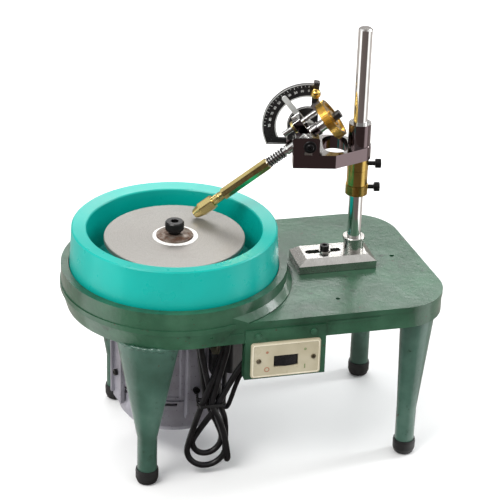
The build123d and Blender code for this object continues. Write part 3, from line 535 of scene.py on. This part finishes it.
def node_finishes():
    """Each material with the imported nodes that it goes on."""
    return [
        (green_enamel("green_casting", (1.0, 1.0, 1.0)), ["table_casting", "switch_bracket"]),
        # painted light: the legs and their beads take a lighter, greyer copy of the casting's enamel,
        # standing in for the light they catch
        (green_enamel("green_legs", (2.3, 1.3, 1.9)),
         ["leg_front_left", "leg_front_right", "leg_rear_left", "leg_rear_right"]),
        (teal_plastic(), ["splash_bowl"]),
        (cast_alloy(), ["motor_housing", "motor_end_shields", "motor_straps", "fan_cover"]),
        (laminations(), ["stator"]),
        (lap_face(), ["lap_disc"]),
        (stained_steel(), ["lap_washer"]),
        (plug_finish(), ["power_plug"]),
        (painted_screws(), ["switch_screws"]),
        (rubber("foot_rubber", (0.010, 0.010, 0.010), 0.42), ["rubber_feet"]),
        (rubber("cable_rubber", (0.003, 0.003, 0.0035), 0.3),
         ["power_cord", "cord_hank", "motor_lead", "cable_reliefs"]),
        (rubber("tie_plastic", (0.006, 0.006, 0.006), 0.45), ["cord_tie"]),
        (steel("ground_steel", (0.40, 0.39, 0.37), (0.66, 0.65, 0.62), 0.24, (1, 0, 0)),
         ["mast_base", "clamp_bush"]),
        (steel("turned_steel", (0.42, 0.41, 0.39), (0.66, 0.65, 0.62), 0.24),
         ["mast_socket", "motor_bearings", "arbor_flange", "motor_rotor"]),
        (steel("black_oxide", (0.006, 0.006, 0.007), (0.035, 0.034, 0.033), 0.3, metallic=0.75),
         ["motor_bolts", "leg_studs", "lap_screw", "clamp_screw", "lower_thumbscrew", "upper_thumbscrew"]),
        (steel("screw_steel", (0.36, 0.35, 0.33), (0.62, 0.61, 0.58), 0.3, (0, 1, 0)), ["dial_screws"]),
        (steel("spring_wire", (0.003, 0.003, 0.003), (0.012, 0.011, 0.011), 0.4, metallic=0.0),
         ["quill_spring"]),
        (steel("pointer_steel", (0.46, 0.46, 0.45), (0.68, 0.68, 0.66), 0.34, metallic=0.3),
         ["angle_pointer"]),
        (chrome("mast_chrome", 0.8), ["mast"]),
        (chrome("quill_chrome", 0.8), ["quill_spindle", "index_plunger"]),
        (chrome("arm_chrome", 0.74, PAINTED_DARK_REFLECTION), ["arm_slab", "pivot_block", "quill_carrier"]),
        (brass("collar_brass", UP, *OLD_BRASS), ["lock_collar", "adjuster_sleeve", "upper_collar"]),
        (brass("quill_brass", QUILL_AXIS, *PALE_BRASS, 0.45),
         ["quill_sleeve", "collet", "collet_nut", "plunger_collar"]),
        (brass("wheel_brass", QUILL_AXIS, *GOLD_BRASS, 0.5), ["index_wheel"]),
        (brass("knob_brass", TILT_AXIS, *GOLD_BRASS, 0.2), ["stop_knob"]),
        (black_gloss(), ["wheel_knob", "angle_stop"]),
        (black_gloss("dial_black", 0.26, (0.10, 0.10, 0.10)), ["angle_dial"]),
        (moulded("fan_plastic", (0.008, 0.008, 0.009), (0.03, 0.03, 0.032), 0.5),
         ["cooling_fan", "terminal_box", "switch_body"]),
        (moulded("ivory_plastic", (0.40, 0.35, 0.235), (0.50, 0.455, 0.33), 0.3), ["switch_plate"]),
        (moulded("rocker_black", (0.006, 0.006, 0.007), (0.02, 0.02, 0.021), 0.24), ["switch_rocker"]),
    ]


def paint_nodes():
    for material, nodes in node_finishes():
        for node in nodes:
            NODES[node].data.materials.clear()
            NODES[node].data.materials.append(material)


# ---- mesh builders --------------------------------------------------------------------
class Build:
    """Collects points and faces in a local frame and makes one piece of them."""

    def __init__(self, place=None):
        self.base = place or Matrix.Identity(4)
        self.place = self.base
        self.points, self.faces = [], []

    def at(self, place):
        """Draws what follows in a frame set on the piece's own."""
        self.place = self.base @ place
        return self

    def add(self, points, faces):
        first = len(self.points)
        self.points += [self.place @ Vector(p) for p in points]
        self.faces += [tuple(first + i for i in face) for face in faces]

    def strip(self, rings, closed=False):
        """Joins rings of points with quads, and caps both ends unless it is closed."""
        size = len(rings[0])
        faces = []
        last = len(rings) if closed else len(rings) - 1
        for i in range(last):
            a, b = i * size, (i + 1) % len(rings) * size
            faces += [(a + k, a + (k + 1) % size, b + (k + 1) % size, b + k) for k in range(size)]
        if not closed:
            faces.append(tuple(reversed(range(size))))
            faces.append(tuple(range((len(rings) - 1) * size, len(rings) * size)))
        self.add([p for ring in rings for p in ring], faces)

    def sweep(self, line, radius, sides=10, closed=False):
        """Round bar along a line; radius is a number or one for each point."""
        line = [Vector(p) for p in line]
        count = len(line)
        widths = radius if isinstance(radius, list) else [radius] * count
        rings, normal = [], None
        for i, point in enumerate(line):
            ahead = line[(i + 1) % count] if closed or i + 1 < count else point
            behind = line[i - 1] if closed or i else point
            along = (ahead - behind).normalized()
            if normal is None:
                normal = along.orthogonal().normalized()
            normal = (normal - along * normal.dot(along)).normalized()
            side = along.cross(normal)
            angles = [2 * pi * k / sides for k in range(sides)]
            rings.append([point + (normal * cos(a) + side * sin(a)) * widths[i] for a in angles])
        self.strip(rings, closed)

    def lathe(self, profile, sides=64):
        """Closed (radius, height) outline turned round the local Z axis."""
        rings = []
        for k in range(sides):
            a = 2 * pi * k / sides
            rings.append([(r * cos(a), r * sin(a), z) for r, z in profile])
        self.strip(rings, closed=True)

    def slab(self, outline, low, high, bevel=0.0):
        """Prism on a local XY outline, its top edge drawn in by the bevel."""
        centre = sum((Vector((*p, 0)) for p in outline), Vector()) / len(outline)
        rings = [[(x, y, low) for x, y in outline]]
        if bevel:
            rings.append([(x, y, high - bevel) for x, y in outline])
        top = []
        for p in outline:
            away = Vector((*p, 0)) - centre
            inner = centre + away * (1 - bevel / max(away.length, bevel))
            top.append((inner.x, inner.y, high))
        self.strip(rings + [top])

    def band(self, inner, outer, start, stop, low, high, steps=48):
        """Flat arc between two radii about the local Z axis, angles in degrees from +Y towards -X."""
        section = ((inner, low), (outer, low), (outer, high), (inner, high))
        rings = []
        for k in range(steps + 1):
            a = radians(start + (stop - start) * k / steps)
            rings.append([(-r * sin(a), r * cos(a), z) for r, z in section])
        self.strip(rings)

    def text(self, words, size, depth):
        """Raised figures on the local XY plane."""
        font = bpy.data.curves.new("figures", "FONT")
        font.body, font.size, font.extrude = words, size, depth / 2
        font.align_x, font.align_y = "CENTER", "CENTER"
        font.resolution_u = 3
        source = bpy.data.objects.new("figures", font)
        mesh = bpy.data.meshes.new_from_object(source)
        lift = Vector((0, 0, depth / 2))
        points = [vertex.co + lift for vertex in mesh.vertices]
        self.add(points, [tuple(face.vertices) for face in mesh.polygons])
        bpy.data.objects.remove(source)
        bpy.data.curves.remove(font)
        bpy.data.meshes.remove(mesh)

    def piece(self, name, body, slot, material, smooth=True):
        mesh = bpy.data.meshes.new(name)
        mesh.from_pydata(self.points, [], self.faces)
        mesh.validate()
        mesh.materials.append(material)
        if smooth:
            mesh.shade_smooth()
            mesh.set_sharp_from_angle(angle=radians(40))
        made = bpy.data.objects.new(name, mesh)
        bpy.context.scene.collection.objects.link(made)
        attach(made, body)
        return made


# ---- cord, lead and tie ---------------------------------------------------------------
CORD_DIA = 6.5 * MM
LEAD_DIA = 5.0 * MM

# straight out of the relief, a long straight run down to the hank, and in under its tie
CORD_ROUTE = [
    (-0.0187, -0.0990, 0.1471),
    (-0.0275, -0.0975, 0.1370),
    (-0.0410, -0.0915, 0.1050),
    (-0.0515, -0.0850, 0.0770),
]

# from the switch down beside the hank, under in a round sag and up into the terminal box
LEAD_ROUTE = [
    (-0.0187, -0.0945, 0.1356),
    (-0.0260, -0.0930, 0.1240),
    (-0.0310, -0.0895, 0.1060),
    (-0.0345, -0.0855, 0.0875),
    (-0.0360, -0.0786, 0.0750),
    (-0.0360, -0.0674, 0.0685),
    (-0.0345, -0.0546, 0.0685),
    (-0.0315, -0.0434, 0.0755),
    (-0.0295, -0.0372, 0.0870),
    (-0.0288, -0.0358, 0.1040),
]

# depths of the hank's strands, the tie's height, and the sides and height of the upper folds
HANK_FRONT = -0.0880
HANK_BACK = -0.0800
TIE_Z = 0.086
FOLD_X = (-0.0690, -0.0390)
FOLD_Z = 0.1560

# each lower loop: centre x, centre z, half width, half height, depth on its left and right
LOOPS = (
    (-0.0588, 0.0410, 0.0172, 0.0186, -0.0860, HANK_BACK),
    (-0.0602, 0.0330, 0.0222, 0.0230, HANK_FRONT, HANK_FRONT),
)
# where each loop passes the tie going up, and comes down through it again
TIE_UP = ((-0.0600, HANK_BACK), (-0.0540, -0.0812))
TIE_DOWN = ((-0.0665, HANK_FRONT), (-0.0565, HANK_FRONT))


def lower_loop(centre_x, centre_z, half_w, half_h, y_left, y_right):
    """Down the left side, round the bottom and up the right side."""
    steps = 7
    points = []
    for i in range(steps + 1):
        share = i / steps
        angle = radians(170 + 205 * share)
        y = y_left + (y_right - y_left) * share
        points.append((centre_x + half_w * cos(angle), y, centre_z + half_h * sin(angle)))
    return points


def upper_fold(tie_up, tie_down, depth):
    """Up from the tie, over the top fold, and down to the tie again."""
    left, right = FOLD_X
    centre = (left + right) / 2
    half = (right - left) / 2
    points = [(tie_up[0], tie_up[1], TIE_Z)]
    for share in (0.3, 0.65):
        x = tie_up[0] + (left - tie_up[0]) * share
        y = tie_up[1] + (depth - tie_up[1]) * share
        points.append((x, y, TIE_Z + (FOLD_Z - TIE_Z) * share))
    for i in range(6):
        angle = radians(180 - 36 * i)
        points.append((centre + half * cos(angle), depth, FOLD_Z + half * sin(angle)))
    for share in (0.35, 0.7):
        x = right + (tie_down[0] - right) * share
        y = depth + (tie_down[1] - depth) * min(1.0, 1.6 * share)
        points.append((x, y, FOLD_Z + (TIE_Z - FOLD_Z) * share))
    points.append((tie_down[0], tie_down[1], TIE_Z))
    return points


def last_loop():
    """Third loop, edge on at the right: round at the bottom, then up behind into the plug."""
    points = [(-0.0480, -0.0890, 0.0700), (-0.0415, -0.0892, 0.0500)]
    centre_y, centre_z, radius = -0.0745, 0.0237, 0.0147
    steps = 6
    for i in range(steps + 1):
        angle = pi * i / steps
        x = -0.0370 + 0.0045 * i / steps
        points.append((x, centre_y - radius * cos(angle), centre_z - radius * sin(angle)))
    points += [(-0.0330, -0.0620, 0.0400), (-0.0360, -0.0680, 0.0560), (-0.0410, -0.0760, 0.0700)]
    return points + [(-0.0456, -0.0812, 0.0820), (-0.0465, -0.0775, 0.0931)]


def hank_points():
    points = list(CORD_ROUTE)
    depths = (HANK_BACK, HANK_FRONT)
    for loop, tie_up, tie_down, depth in zip(LOOPS, TIE_UP, TIE_DOWN, depths):
        points += lower_loop(*loop)
        points += upper_fold(tie_up, tie_down, depth)
    return points + last_loop()


def flexible(name, points, diameter, finish, body):
    """Cable as a smooth open spline with those points as its control points."""
    curve = bpy.data.curves.new(name, "CURVE")
    curve.dimensions = "3D"
    curve.bevel_depth = diameter / 2
    curve.bevel_resolution = 5
    curve.resolution_u = 8
    curve.use_fill_caps = True
    spline = curve.splines.new("NURBS")
    spline.points.add(len(points) - 1)
    for control, point in zip(spline.points, points):
        control.co = (*point, 1.0)
    spline.order_u = 3
    spline.use_endpoint_u = True
    curve.materials.append(material(finish))
    cable = bpy.data.objects.new(name, curve)
    bpy.context.scene.collection.objects.link(cable)
    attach(cable, body)
    return cable


# corners of the tie round the strands, and where its twisted tail starts and ends
TIE_CORNERS = [
    (-0.0702, -0.0842),
    (-0.0680, -0.0921),
    (-0.0448, -0.0921),
    (-0.0424, -0.0842),
    (-0.0448, -0.0762),
    (-0.0680, -0.0762),
]
TAIL_START = Vector((-0.0690, -0.0775, TIE_Z))
TAIL_END = Vector((-0.0672, -0.0693, 0.0895))


def tie_piece():
    """Twisted wire round the waist of the hank, its ends hooked on the strap screw."""
    build = Build()
    line = []
    for turn in range(2):
        for k, (x, y) in enumerate(TIE_CORNERS):
            ahead = TIE_CORNERS[(k + 1) % len(TIE_CORNERS)]
            for share in (0.0, 0.33, 0.67):
                z = TIE_Z + (turn - 0.5) * 2.1 * MM + sin(k + 2 * turn) * 0.5 * MM
                line.append((x + (ahead[0] - x) * share, y + (ahead[1] - y) * share, z))
    line.append(tuple(TAIL_START))
    build.sweep(line, 0.95 * MM, 8)
    for phase in (0.0, pi):
        twist = []
        for k in range(17):
            share = k / 16
            centre = TAIL_START + (TAIL_END - TAIL_START) * share
            angle = phase + 4 * pi * share
            twist.append(centre + Vector((cos(angle), 0, sin(angle))) * 0.8 * MM)
        build.sweep(twist, 0.75 * MM, 8)
    piece = build.piece("tie_wire", "frame", "tie_wire", material("tie_plastic"))
    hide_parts("cord_tie")
    return piece


def cables():
    tie = tie_piece()
    ribs = relief_ribs("cord_relief_ribs", (0.5, -99.0, 161.5), 6.5)
    relief_ribs("lead_relief_ribs", (0.5, -94.5, 150.0), 5.0)
    cord = flexible("mains_cord", hank_points(), CORD_DIA, "cable_rubber", "frame")
    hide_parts("power_cord", "cord_hank")
    lead = flexible("switch_lead", LEAD_ROUTE, LEAD_DIA, "cable_rubber", "frame")
    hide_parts("motor_lead")


# ---- detail pieces, drawn in millimetres -------------------------------------------------
# INK_DEPTH is a thickness. DIAL_FRONT, BLOCK_FRONT and POINTER_BACK are places along the tilt axis and
# WHEEL_BACK and WHEEL_RECESS along the quill, all from the pivot. The rest are places in the frame.
INK_DEPTH = 0.12
DIAL_FRONT = 24.0
BLOCK_FRONT = -32.0
POINTER_BACK = 23.6
WHEEL_BACK = -34.0
WHEEL_RECESS = -32.4
LAP_TOP = 245.7
PLATE_FRONT = -119.0
SWITCH_X = 15.5
SWITCH_Z = 151.8
SKIRT_BOTTOM = 172.0


def material(name):
    return bpy.data.materials[name]


def rectangle(width, height):
    x, y = width / 2, height / 2
    return [(-x, -y), (x, -y), (x, y), (-x, y)]


def circle(radius, count=16):
    return [(radius * cos(2 * pi * k / count), radius * sin(2 * pi * k / count)) for k in range(count)]


def facing_front(x, y, z):
    """Local X stays, Y goes up and Z comes out towards the front."""
    return frame_matrix((1, 0, 0), (0, 0, 1), (0, -1, 0), (x, y, z))


def on_dial(angle, radius):
    """On the dial's front face: X along the arc, Y outwards, Z out of the face."""
    a = radians(angle)
    out = Vector((-sin(a), 0, cos(a)))
    normal = Vector((0, -1, 0))
    return frame_matrix(out.cross(normal), out, normal, out * radius + Vector((0, DIAL_FRONT, 0)))


def on_wheel(angle, radius, depth):
    """On the index wheel's back: X along the rim, Y outwards, Z out of the face."""
    a = radians(angle)
    out = Vector((cos(a), sin(a), 0))
    normal = Vector((0, 0, -1))
    return frame_matrix(out.cross(normal), out, normal, out * radius + Vector((0, 0, depth)))


def dial_figures():
    """Degree ticks and figures: 0 straight up, 90 level."""
    build = Build(DIAL @ IN_MM)
    for angle in range(0, 91, 5):
        length = 2.4 if angle % 10 == 0 else 1.3
        build.at(on_dial(angle, 46.6 - length / 2)).slab(rectangle(0.3, length), 0, INK_DEPTH)
    for angle in range(0, 91, 10):
        build.at(on_dial(angle, 40.6)).text(str(angle), 3.6, INK_DEPTH)
    build.piece("dial_figures", "arm", "ivory_plate", material("white_ink"), smooth=False)


def dial_edges():
    """Bright edges along the dial's band, its hub and its lower straight side."""
    build = Build(DIAL @ IN_MM)
    face = facing_front(0, DIAL_FRONT, 0)
    build.at(face).band(47.35, 48.35, -12, 115, 0, INK_DEPTH, 64)
    build.at(face).band(33.85, 35.1, -6, 112, 0, INK_DEPTH, 64)
    build.at(face).band(21.0, 21.55, -12, 98, 0, INK_DEPTH, 48)
    build.at(on_dial(-1, 1) @ Matrix.Translation((-27.5, -22.0, 0))).slab(rectangle(28, 0.45), 0, INK_DEPTH)
    build.piece("dial_edges", "arm", "bright_steel", material("pointer_steel"), smooth=False)


def pivot_cap():
    """Washer and socket screw over the front end of the tilt pin, and a small plain plate."""
    build = Build(DIAL @ IN_MM)
    build.at(facing_front(0, BLOCK_FRONT, 0))
    build.lathe([(2.0, 0), (6.8, 0), (6.8, 0.6), (6.3, 1.1), (2.0, 1.1)], 48)
    build.lathe([(0.02, 1.0), (3.9, 1.0), (3.9, 2.2), (3.1, 3.0), (1.7, 3.1), (1.5, 1.9), (0.02, 1.8)], 36)
    build.piece("pivot_cap", "arm", "black_steel", material("black_oxide"))
    plate = Build(DIAL @ IN_MM)
    plate.at(facing_front(-1.5, BLOCK_FRONT, -7.6)).slab(rectangle(7.8, 2.9), 0, 0.4, 0.15)
    plate.piece("arm_plate", "arm", "bright_steel", material("screw_steel"), smooth=False)


def stop_ball():
    """Round brass knob on the stop, with a neck and a flat at its front."""
    ball_r, ball_z = 5.5, 0.9
    along = -TILT_AXIS
    side = UP.cross(along).normalized()
    build = Build(frame_matrix(side, along.cross(side), along, middle("stop_knob")) @ IN_MM)
    profile = [(0.02, -3.4), (2.4, -3.4), (2.4, -2.6)]
    for k in range(11):
        a = radians(-38 + 12 * k)
        profile.append((ball_r * cos(a), ball_z + ball_r * sin(a)))
    profile += [(1.2, 6.3), (0.02, 6.3)]
    build.lathe(profile, 48)
    piece = build.piece("stop_ball", "stop", "brass", material("knob_brass"))
    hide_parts("stop_knob")


def pointer_bar():
    """Flat bright bar square to the quill, with a round hub on the trunnion and a blunt tip."""
    hub_r = 8.0
    hub = [(hub_r * cos(radians(a)), hub_r * sin(radians(a))) for a in range(24, 337, 12)]
    bar = [(30.0, -3.1), (42.0, -2.8), (43.6, -1.6), (43.6, 1.6), (42.0, 2.8), (30.0, 3.1)]
    place = facing_front(0, POINTER_BACK, 0)
    build = Build(QUILL @ IN_MM)
    build.at(place).slab(hub + bar, 0, 1.8, 0.4)
    build.at(place).lathe([(7.2, 1.7), (7.9, 1.9), (7.9, 5.2), (7.2, 5.5), (6.2, 5.5)], 40)
    piece = build.piece("pointer_bar", "head", "chrome", material("pointer_steel"), smooth=False)
    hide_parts("angle_pointer")


def carrier_edges():
    """Bright edges round the front and back faces of the quill carrier."""
    low, high, front, back, near, far = -7.6, 23.5, -9.0, 9.0, -5.0, 4.4
    build = Build(QUILL @ IN_MM)
    corners = [(low, near), (high, near), (high, far), (low, far)]
    for y in (front, back):
        line = [(x, y, z) for x, z in corners]
        for k, start in enumerate(line):
            build.sweep([start, line[(k + 1) % 4]], 0.35, 6)
    build.piece("carrier_edges", "head", "chrome", material("quill_chrome"))


TEETH = 72


def wheel_figures():
    """One tick for each tooth and a figure at every twelfth."""
    build = Build(QUILL @ IN_MM)
    for tooth in range(TEETH):
        length = 2.2 if tooth % 6 == 0 else 1.3
        place = on_wheel(360 / TEETH * tooth, 20.9 - length / 2, WHEEL_BACK)
        build.at(place).slab(rectangle(0.25, length), 0, INK_DEPTH)
    for tooth in range(0, TEETH, 12):
        place = on_wheel(360 / TEETH * tooth, 13.6, WHEEL_RECESS)
        build.at(place).text(str(tooth or TEETH), 4.4, INK_DEPTH)
    build.piece("wheel_figures", "quill_rod", "black_polish", material("dark_ink"), smooth=False)


SPRING_START = 31.6
SPRING_END = 53.2
TURN_GAP = 0.05
COIL_R = 5.1
WIRE_R = 0.66


def spring():
    """Compression spring with closed ends."""
    open_turns = 5.6
    closed_pitch = 2 * WIRE_R + TURN_GAP
    length = SPRING_END - SPRING_START - 2 * WIRE_R
    open_pitch = (length - 2 * closed_pitch) / open_turns
    steps = 22
    line = []
    for k in range(int((open_turns + 2) * steps) + 1):
        turn = k / steps
        rise = closed_pitch * min(turn, 1.0)
        rise += open_pitch * min(max(turn - 1.0, 0.0), open_turns)
        rise += closed_pitch * max(turn - 1.0 - open_turns, 0.0)
        a = 2 * pi * turn
        line.append((COIL_R * cos(a), COIL_R * sin(a), SPRING_START + WIRE_R + rise))
    build = Build(QUILL @ IN_MM)
    build.sweep(line, WIRE_R, 8)
    piece = build.piece("coil_spring", "quill_rod", "black_steel", material("spring_wire"))
    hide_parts("quill_spring")
    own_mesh(piece)


def sleeve_thread():
    """Thread on the sleeve's neck, running in under the collet nut."""
    radius, pitch, start, turns, steps = 4.78, 1.0, 117.6, 9, 20
    line = []
    for k in range(turns * steps + 1):
        a = 2 * pi * k / steps
        line.append((radius * cos(a), radius * sin(a), start + pitch * k / steps))
    build = Build(QUILL @ IN_MM)
    build.sweep(line, 0.36, 6)
    build.piece("sleeve_thread", "quill_holder", "brass", material("quill_brass"))


def lap_ring():
    """Pale paper washer that shows round the steel one, its edge a little uneven."""
    build = Build(Matrix.Translation((LAP.x, LAP.y, LAP_TOP * MM)) @ IN_MM)
    rings = []
    for k in range(120):
        a = 2 * pi * k / 120
        outer = 24.3 + 0.5 * noise.noise(Vector((2.0 * cos(a), 2.0 * sin(a), 3.1)))
        section = [(19.6, 0.02), (outer, 0.02), (outer - 0.2, 0.32), (19.6, 0.42)]
        rings.append([(0.7 + r * cos(a), r * sin(a) - 0.4, z) for r, z in section])
    build.strip(rings, closed=True)
    build.piece("paper_washer", "lap_spindle", "ivory_plate", material("paper"))


def knurl(name, body, place, radius, low, high, count, rib=0.3):
    """Fine straight ribs round a screw head, slimmer at their ends."""
    build = Build(place @ IN_MM)
    for k in range(count):
        a = 2 * pi * k / count
        heights = (low, low + 0.5, high - 0.5, high)
        line = [(radius * cos(a), radius * sin(a), z) for z in heights]
        build.sweep(line, [0.5 * rib, rib, rib, 0.5 * rib], 6)
    build.piece(name, body, "black_steel", material("black_oxide"))


def knurled_heads():
    side = UP.cross(ARM_AXIS)
    for joint, body in (("lower_thumb_turn", "lower_thumb"), ("upper_thumb_turn", "upper_thumb")):
        origin = Vector(JOINTS[joint]["pos_m"])
        knurl(body + "_knurl", body, frame_matrix(UP, -side, ARM_AXIS, origin), 4.7, 18.9, 24.3, 26)
    lap_top = Matrix.Translation((LAP.x, LAP.y, 0))
    knurl("lap_screw_knurl", "lap_spindle", lap_top, 9.7, 254.0, 261.0, 44, 0.34)


# head of each leg under the skirt: centre, half width, half depth, turn in degrees
LEG_HEADS = {
    "front_left": ((-125.4, -89.8), 34.0, 17.5, -27.0),
    "rear_left": ((-125.4, 89.8), 34.0, 17.5, 27.0),
    "front_right": ((170.0, -84.0), 21.0, 17.0, 34.0),
    "rear_right": ((162.0, 82.0), 21.0, 17.0, -38.0),
}
BEAD_INSET = 1.3


def leg_beads():
    """Uneven bead of filler and paint where each leg's head meets the skirt."""
    steps = 96
    for name, (centre, half_w, half_d, turn) in LEG_HEADS.items():
        place = Matrix.Translation((centre[0] * MM, centre[1] * MM, 0))
        build = Build(place @ Matrix.Rotation(radians(turn), 4, "Z") @ IN_MM)
        line, widths = [], []
        for k in range(steps):
            a = 2 * pi * k / steps
            bump = noise.noise(Vector((5 * cos(a), 5 * sin(a), centre[0] * 0.1)))
            x, y = (half_w - BEAD_INSET) * cos(a), (half_d - BEAD_INSET) * sin(a)
            line.append((x, y, SKIRT_BOTTOM - BEAD_INSET + 0.9 * bump))
            widths.append(1.9 + 1.1 * noise.noise(Vector((9 * cos(a), 9 * sin(a), centre[1] * 0.1))))
        build.sweep(line, widths, 10, closed=True)
        build.piece("leg_bead_" + name, "frame", "green_paint", material("green_legs"))


def relief_ribs(name, start, diameter):
    """Ribs round a tapered strain relief that runs down to the left from its start."""
    along = Vector((-0.8, 0.0, -0.6))
    across = Vector((0.0, 1.0, 0.0))
    build = Build(frame_matrix(across, along.cross(across), along, Vector(start) * MM) @ IN_MM)
    for step in range(5):
        height = 4.5 + 3.8 * step
        radius = diameter / 2 + 2.0 - 1.3 * (height + 6.0) / 30.0 + 0.25
        ring = [(x, y, height) for x, y in circle(radius, 32)]
        build.sweep(ring, 0.7, 8, closed=True)
    return build.piece(name, "frame", "cord_rubber", material("cable_rubber"))


def switch_marks():
    """Rim of the switch plate in a lighter ivory that paints the highlight along its edge, and a ring for
    off and a bar for on with a dot over each.
    """
    face = facing_front(SWITCH_X, PLATE_FRONT, SWITCH_Z)
    rim = Build(IN_MM)
    half_w, half_h, corner = 35.6, 18.4, 2.6
    line = []
    for k in range(32):
        a = 2 * pi * (k + 0.5) / 32
        x = (half_w - corner) * (1 if cos(a) > 0 else -1) + corner * cos(a)
        y = (half_h - corner) * (1 if sin(a) > 0 else -1) + corner * sin(a)
        line.append((x, y, -0.1))
    rim.at(face).sweep(line, 0.75, 8, closed=True)
    # painted highlight: the rim is a lighter copy of the plate's ivory, standing in for light caught on its
    # edge
    painted_highlight_ivory = moulded("ivory_edge", (0.6, 0.54, 0.4), (0.72, 0.67, 0.53), 0.25)
    rim.piece("plate_rim", "frame", "ivory_plate", painted_highlight_ivory)
    out, low, high = 20.5, -10.8, 9.6
    off, on = Build(IN_MM), Build(IN_MM)
    off.at(face @ Matrix.Translation((-out, low, 0))).band(1.9, 2.9, 0, 360, 0, INK_DEPTH, 32)
    off.at(face @ Matrix.Translation((-out, high, 0))).slab(circle(1.5), 0, INK_DEPTH)
    on.at(face @ Matrix.Translation((out, low, 0))).slab(rectangle(1.3, 5.2), 0, INK_DEPTH)
    on.at(face @ Matrix.Translation((out, high, 0))).slab(circle(1.5), 0, INK_DEPTH)
    off.piece("mark_off", "frame", "ivory_plate", material("red_ink"), smooth=False)
    on.piece("mark_on", "frame", "ivory_plate", material("green_ink"), smooth=False)


def details():
    ink("white_ink", (0.86, 0.86, 0.83))
    ink("dark_ink", (0.05, 0.035, 0.015))
    ink("paper", (0.92, 0.90, 0.87))
    ink("red_ink", (0.40, 0.17, 0.10))
    ink("green_ink", (0.22, 0.27, 0.12))
    dial_figures()
    dial_edges()
    pivot_cap()
    stop_ball()
    pointer_bar()
    carrier_edges()
    wheel_figures()
    spring()
    sleeve_thread()
    lap_ring()
    knurled_heads()
    leg_beads()
    switch_marks()


# ---- the script -----------------------------------------------------------------------
camera()
lights()
floor()
paint_nodes()
cables()
details()
